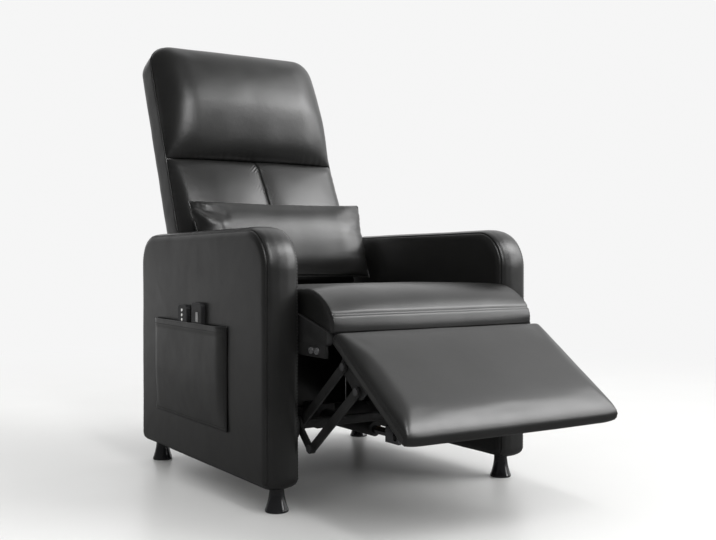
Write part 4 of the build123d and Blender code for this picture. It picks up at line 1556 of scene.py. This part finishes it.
@dataclass
class Pillow(Upholstered):
    """Loose lumbar pillow: two panels sewn together at a knife edge, with drawn-in sides."""

    half: float = 246.0
    low: float = 16.0
    high: float = 222.0
    seam: float = 121.0
    front: float = 164.0
    rear: float = 98.5
    draw: float = 6.0
    taper: float = 12.0
    end_width: float = 92.0
    roundness: float = 2.1
    piping_radius: float = 2.0
    seam_hold: float = 0.7
    fold_steps: int = 16
    fold_root: int = 9
    fold_share: float = 0.55
    columns: int = 77
    rows: int = 39
    stuffing: Stuffing = Stuffing(pressure=3.0, cap=5.0)

    def spot(self, across: float, up: float, bulge: float) -> Vector:
        """Place on one of the pillow's panels.

        Args:
            across: place across, from -1 to 1.
            up: place up, from -1 to 1.
            bulge: how far forward the middle of the panel lies.

        Returns:
            The place in millimetres.
        """
        middle, reach = (self.low + self.high) / 2, (self.high - self.low) / 2
        half = self.half - self.taper * (1 - up) / 2
        x = half * across - self.draw * across * abs(across) * (1 - up * up) ** 1.2
        u = middle + reach * up - self.draw * up * abs(up) * (1 - across**4)
        end = shoulder(self.half * (1 - abs(across)), self.end_width, self.roundness)
        return BACK.at(x, u, self.seam + (bulge - self.seam) * (end * swell(up, self.roundness)))

    def fold(self, needle: Needle, side: int, strength: float) -> None:
        """Presses the folds that run into the cover from an upper corner.

        Args:
            needle: the needle at work on the pillow.
            side: the end of the pillow, -1 or 1.
            strength: how deep the folds are.
        """
        for ends, depth, width in (
            (((0.985, 0.66), (0.90, 0.42), (0.78, 0.28)), 7.0, 14.0),
            (((0.985, 0.95), (0.90, 0.70), (0.70, 0.56)), -4.0, 12.0),
            (((0.97, 0.97), (0.86, 0.90), (0.62, 0.84)), 2.4, 9.0),
        ):
            line = [self.spot(side * s, t, self.front) for s, t in run(ends, self.fold_steps)]
            needle.groove(line, self.fold_share * strength * depth, width)
            needle.groove(line[: self.fold_root], (1 - self.fold_share) * strength * depth, width)

    def settle(self, piece: Piece) -> None:
        """Flattens the rear where it leans on the lower cushion.

        Args:
            piece: the filled pillow.
        """
        spots = places(piece) / MM
        out = np.array((0.0, *BACK.out))
        forward = (spots - np.array((0.0, BACK.y, BACK.z))) @ out
        short = np.maximum(0.0, self.rear - 1.0 - forward)
        put(piece, (spots + out * short[:, None]) * MM)

    def build(self) -> None:
        """Makes the pillow, fills it and draws its ends in."""
        skin = Skin("loose_pillow")
        across = spread(self.columns, crowd=0.6)
        front, rear = [], []
        for i, t in enumerate(spread(self.rows, crowd=0.6)):
            front.append(skin.row(self.spot(s, t, self.front) for s in across))
            numbers = []
            for k, s in enumerate(across):
                sewn = i in (0, self.rows - 1) or k in (0, self.columns - 1)
                numbers += [front[-1][k]] if sewn else skin.row([self.spot(s, t, self.rear)])
            rear.append(numbers)
        skin.sheet(front)
        skin.sheet(rear)
        piece = skin.make()
        rim = front[0] + [row[-1] for row in front[1:-1]] + front[-1][::-1] + [row[0] for row in front[-2:0:-1]]
        held = np.zeros(len(piece.data.vertices))
        held[rim] = self.seam_hold
        held[[front[0][0], front[0][-1], front[-1][0], front[-1][-1]]] = FAST
        self.stuffing.fill(piece, held)
        self.settle(piece)
        edge = picked(piece, rim)
        ends = [picked(piece, [row[k] for row in front]) for k in (0, -1)]
        refine(piece)
        ripple(piece, depth=0.8, size=70.0, seed=71.0)
        needle = Needle(piece)
        for end in ends:
            needle.gather(end, depth=1.8, reach=30.0, pitch=46.0)
            needle.gather(end, depth=0.8, reach=18.0, pitch=19.0)
        needle.gather(edge, depth=0.5, reach=14.0, pitch=23.0)
        self.fold(needle, -1, 0.9)
        self.fold(needle, 1, 0.25)
        self.dress(piece, Body.PILLOW, "lumbar_pillow", fill=0.7)
        self.dress(piping("pillow_piping", edge, self.piping_radius), Body.PILLOW)


@dataclass
class RearPanel(Upholstered):
    """Upholstered panel that closes the rear between the arms."""

    half: float = 254.6
    front: float = 379.5
    rear: float = 395.5
    foot: float = 51.4
    top: float = 352.0
    foot_corner: float = 3.0
    top_corner: float = 5.0
    proud: float = 2.0
    sunk: float = 0.4
    hem: float = 11.0

    def build(self) -> None:
        """Makes the panel with its stitched hem."""
        rim = panel_rim(self.half, self.foot, self.top, self.foot_corner, self.top_corner)
        thick = self.rear - self.front
        skin = Skin("rear_cover")
        rings = []
        for depth, inset in ((0.0, 1.0), (1.0, 0.0), (thick - 5, 0.0), (thick - 2, 1.0), (thick - self.sunk, 3.2)):
            y = self.front + depth
            rings.append(skin.row(Vector((x - nx * inset, y, z - nz * inset)) for (x, z), (nx, nz) in rim))
        skin.sheet(rings, closed=True)
        skin.cap(rings[0])
        heart = Vector((0.0, self.rear - self.sunk, (self.foot + self.top) / 2))

        def inner(k: int, share: float) -> Vector:
            """Place of a border point on a smaller ring of the rear face.

            Args:
                k: the point's place round the rim.
                share: how far in the ring lies, from 0 at the rim to 1 in the middle.

            Returns:
                The place in millimetres.
            """
            place = skin.points[rings[-1][k]].lerp(heart, share)
            wide, tall = place.x / self.half, 2 * (place.z - self.foot) / (self.top - self.foot) - 1
            place.y += self.proud * (1 - wide**4) * (1 - tall**4)
            return place

        skin.fan(rings[-1], (0.05, 0.14, 0.3, 0.5, 0.66, 0.82), inner)
        piece = skin.make()
        ripple(piece, depth=0.6, size=90.0, seed=81.0)
        needle = Needle(piece)
        needle.sew([Vector((x - nx * self.hem, self.rear, z - nz * self.hem)) for (x, z), (nx, nz) in rim], closed=True)
        needle.finish(Body.BASE, self.finishes.thread)
        self.dress(piece, Body.BASE, "rear_panel", fill=0.9)


@dataclass
class SidePocket(Upholstered):
    """Patch pocket on the right arm, sewn on three edges, with a turned hem at its mouth."""

    face: float = -333.0
    front: float = -105.5
    rear: float = 283.5
    foot: float = 141.0
    mouth: float = 358.0
    depth: float = 14.2
    least: float = 4.2
    side_ease: float = 34.0
    foot_ease: float = 110.0
    wall: float = 1.9
    hem: float = 16.0
    hem_lift: float = 0.7
    columns: int = 66
    rows: int = 32
    hem_rows: int = 5
    stitch: float = 5.5
    stitch_in: float = 7.0
    stitch_end: float = 4.0
    edge_points: int = 140
    mouth_points: int = 70

    def at(self, y: float, z: float, proud: float = 0.0) -> Vector:
        """Place on the patch, which stands off the arm in its middle.

        Args:
            y: place along the arm.
            z: height.
            proud: how far outside the patch's outer face.

        Returns:
            The place in millimetres.
        """
        side = min(1.0, (y - self.front) / self.side_ease, (self.rear - y) / self.side_ease)
        rise = min(1.0, (z - self.foot) / self.foot_ease)
        ease = math.sin(max(0.0, side) * math.pi / 2) ** 0.8 * math.sin(max(0.0, rise) * math.pi / 2) ** 0.9
        out = self.least + (self.depth - self.least) * ease
        return Vector((self.face - out - proud, y, z))

    def sew(self, needle: Needle) -> None:
        """Sews the patch to the arm on three edges, and its hem.

        Args:
            needle: the needle at work on the patch.
        """
        rear, front, foot = self.rear - self.stitch_in, self.front + self.stitch_in, self.foot + self.stitch_in
        top, hem = self.mouth - self.stitch_end, self.mouth - self.hem + self.stitch_end
        edges = run(((rear, top), (rear, foot), (front, foot), (front, top)), self.edge_points)
        ends = ((self.rear - self.stitch_end, hem), (self.front + self.stitch_end, hem))
        mouth = run(ends, self.mouth_points)
        for line in (edges, mouth):
            needle.sew([self.at(y, z, 1.0) for y, z in line], pitch=self.stitch)

    def build(self) -> None:
        """Makes the pocket with its hem and stitches."""
        skin = Skin("side_patch")
        ys = np.linspace(self.front, self.rear, self.columns)
        hem = self.mouth - self.hem
        patch = [(z, 0.0) for z in np.linspace(self.foot, hem - 1.5, self.rows)]
        turned = [(z, self.hem_lift) for z in np.linspace(hem, self.mouth - 1.2, self.hem_rows)]
        outer, inner = [], []
        for z, lift in patch + turned:
            outer.append(skin.row(self.at(y, z, lift) for y in ys))
            inner.append(skin.row(self.at(y, z, -self.wall) for y in ys))
        lip = skin.row(self.at(y, self.mouth, -0.4) for y in ys)
        skin.sheet(outer + [lip] + inner[::-1])
        skin.strip(inner[0], outer[0])
        for k in (0, -1):
            skin.strip([row[k] for row in outer], [row[k] for row in inner])
            skin.cap([outer[-1][k], lip[k], inner[-1][k]])
        piece = skin.make()
        ripple(piece, depth=0.7, size=70.0, seed=91.0)
        ripple(piece, depth=0.25, size=26.0, seed=95.0)
        needle = Needle(piece)
        self.sew(needle)
        needle.finish(Body.BASE, self.finishes.thread)
        self.dress(piece, Body.BASE, "side_pocket")


@dataclass
class Hardware:
    """The rigid CAD pieces, each given the finish of its slot."""

    finishes: Finishes

    def build(self) -> None:
        """Puts a finish on every CAD node."""
        for row in frame["record"]["subparts"]:
            node = frame["nodes"][row["node"]]
            node.data.materials.clear()
            node.data.materials.append(self.finishes.by_slot[row["material_slot"]])


# Stage


@dataclass(frozen=True)
class Softbox:
    """One soft studio lamp."""

    name: str
    place: tuple[float, float, float]
    aim: tuple[float, float, float]
    width: float
    height: float
    watts: float

    def build(self) -> None:
        """Hangs the lamp."""
        lamp = bpy.data.lights.new(self.name, "AREA")
        lamp.shape = "RECTANGLE"
        lamp.size, lamp.size_y = self.width, self.height
        lamp.energy = self.watts
        made = bpy.data.objects.new(self.name, lamp)
        made.location = self.place
        made.rotation_euler = (Vector(self.aim) - Vector(self.place)).to_track_quat("-Z", "Y").to_euler()
        bpy.context.scene.collection.objects.link(made)


@dataclass(frozen=True)
class PaleSide:
    """Where the room is white in mirrors: its coordinate, direction, and where it starts and is full."""

    place: str
    side: tuple[float, float, float]
    start: float
    full: float


@dataclass(frozen=True)
class Studio:
    """Pale floor, white surround, soft light and the camera."""

    eye: tuple[float, float, float] = (-1.2143, -1.9706, 0.5097)
    ahead: tuple[float, float, float] = (0.5404, 0.8412, -0.0170)
    lens: float = 50.17
    sensor: float = 36.0
    floor_half: float = 9000.0
    floor_colour: Colour = (0.75, 0.75, 0.74)
    floor_sheen: Flat = (0.30, 0.38)
    floor_cells: float = 5.0
    floor_fade: Flat = (1.0, 3.2)
    floor_side: PaleSide = PaleSide("Object", (0.2, 0.98, 0.0), -1.3, 9.0)
    world_side: PaleSide = PaleSide("Generated", (0.8, 0.6, 0.0), 0.1, 0.65)
    ambient: float = 0.92
    backdrop: float = 0.92
    dim: float = 0.05
    least_pale: float = 0.03
    lamps: tuple[Softbox, ...] = (
        Softbox("window_lamp", (12.0, -6.4, 9.4), (0.0, 0.0, 0.5), 11.5, 10.8, 1050.0),
        Softbox("key_lamp", (9.3, -6.9, 11.6), (0.0, 0.0, 0.6), 6.8, 6.0, 560.0),
        Softbox("door_lamp", (10.4, -11.5, 4.3), (0.0, 0.0, 0.4), 4.5, 5.4, 250.0),
        Softbox("strip_lamp", (-0.3, -2.1, 2.6), (0.0, 0.2, 0.95), 0.35, 2.4, 30.0),
    )

    def build(self) -> None:
        """Sets up the whole stage."""
        self.camera()
        self.floor()
        self.surround()
        for lamp in self.lamps:
            lamp.build()
        bpy.context.scene.view_settings.view_transform = "Standard"

    def camera(self) -> None:
        """Sets the camera at the photographed viewpoint."""
        eye = bpy.data.cameras.new("viewpoint")
        eye.lens = self.lens
        eye.sensor_width = self.sensor
        eye.sensor_fit = "HORIZONTAL"
        made = bpy.data.objects.new("viewpoint", eye)
        made.location = self.eye
        made.rotation_euler = Vector(self.ahead).to_track_quat("-Z", "Y").to_euler()
        bpy.context.scene.collection.objects.link(made)
        bpy.context.scene.camera = made

    def floor(self) -> None:
        """Lays the pale floor, which turns into the white surround further off."""
        skin = Skin("floor")
        half = self.floor_half
        corners = ((-half, -half), (half, -half), (half, half), (-half, half))
        skin.cap(skin.row(Vector((x, y, 0.0)) for x, y in corners))
        made = skin.make()
        shader = Shader("pale_floor")
        surface = shader.surface
        sheen = shader.mapped(shader.noise(self.floor_cells), *self.floor_sheen)
        shader.give(surface, Base_Color=(*self.floor_colour, 1.0), Roughness=sheen)
        away = shader.add("VectorMath", operation="LENGTH", Vector=shader.place()).outputs["Value"]
        near, far = self.floor_fade
        fade = shader.add("MapRange", interpolation_type="SMOOTHSTEP", Value=away, From_Min=near, From_Max=far)
        shown, hidden = self.watched(shader, self.floor_side)
        seen = shader.maths("MULTIPLY", fade.outputs["Result"], shown)
        pale = shader.glow(surface.outputs[0], seen, "Emission", self.backdrop)
        ends = shader.glow(pale, hidden, "Emission", self.dim)
        shader.give(shader.tree.nodes["Material Output"], Surface=ends)
        made.data.materials.append(shader.material)

    def watched(self, shader: Shader, pale: PaleSide) -> tuple[Socket, Socket]:
        """Adds the values that place the white surround: in sight, and in mirrors on the pale side of the room.

        Args:
            shader: the material or world.
            pale: the pale side of the room.

        Returns:
            The share that shows white, and the share that a mirror sees dim.
        """
        path = shader.add("LightPath").outputs
        mirror = shader.maths("MAXIMUM", path["Is Glossy Ray"], path["Is Transmission Ray"])
        towards = shader.add("VectorMath", operation="DOT_PRODUCT", Vector=shader.place(pale.place))
        towards.inputs[1].default_value = pale.side
        lit = shader.add("MapRange", Value=towards.outputs["Value"], From_Min=pale.start, From_Max=pale.full)
        shader.give(lit, To_Min=self.least_pale, To_Max=1.0)
        mirrored = shader.maths("MULTIPLY", mirror, lit.outputs["Result"])
        hidden = shader.maths("SUBTRACT", mirror, mirrored)
        return shader.maths("MAXIMUM", path["Is Camera Ray"], mirrored), hidden

    def surround(self) -> None:
        """Makes the white surround that the camera sees and the plain light that the chair gets."""
        world = bpy.data.worlds.new("surround")
        bpy.context.scene.world = world
        world.use_nodes = True
        shader = Shader("surround", world)
        shown, hidden = self.watched(shader, self.world_side)
        plain = shader.add("Background", Color=WHITE, Strength=self.ambient).outputs[0]
        pale = shader.glow(plain, shown, "Background", self.backdrop)
        shader.add("OutputWorld", Surface=shader.glow(pale, hidden, "Background", self.dim))


def main() -> None:
    """Builds the stage, then dresses the chair piece by piece."""
    logging.basicConfig(level=logging.INFO, format="%(name)s: %(message)s")
    Studio().build()
    finishes = Finishes()
    Hardware(finishes).build()
    for part in (
        Arm(finishes, "right", -1),
        Arm(finishes, "left", 1),
        Seat(finishes),
        FootrestPad(finishes),
        Backrest(finishes),
        Pillow(finishes),
        RearPanel(finishes),
        SidePocket(finishes),
    ):
        part.build()


if __name__ == "__main__":
    main()
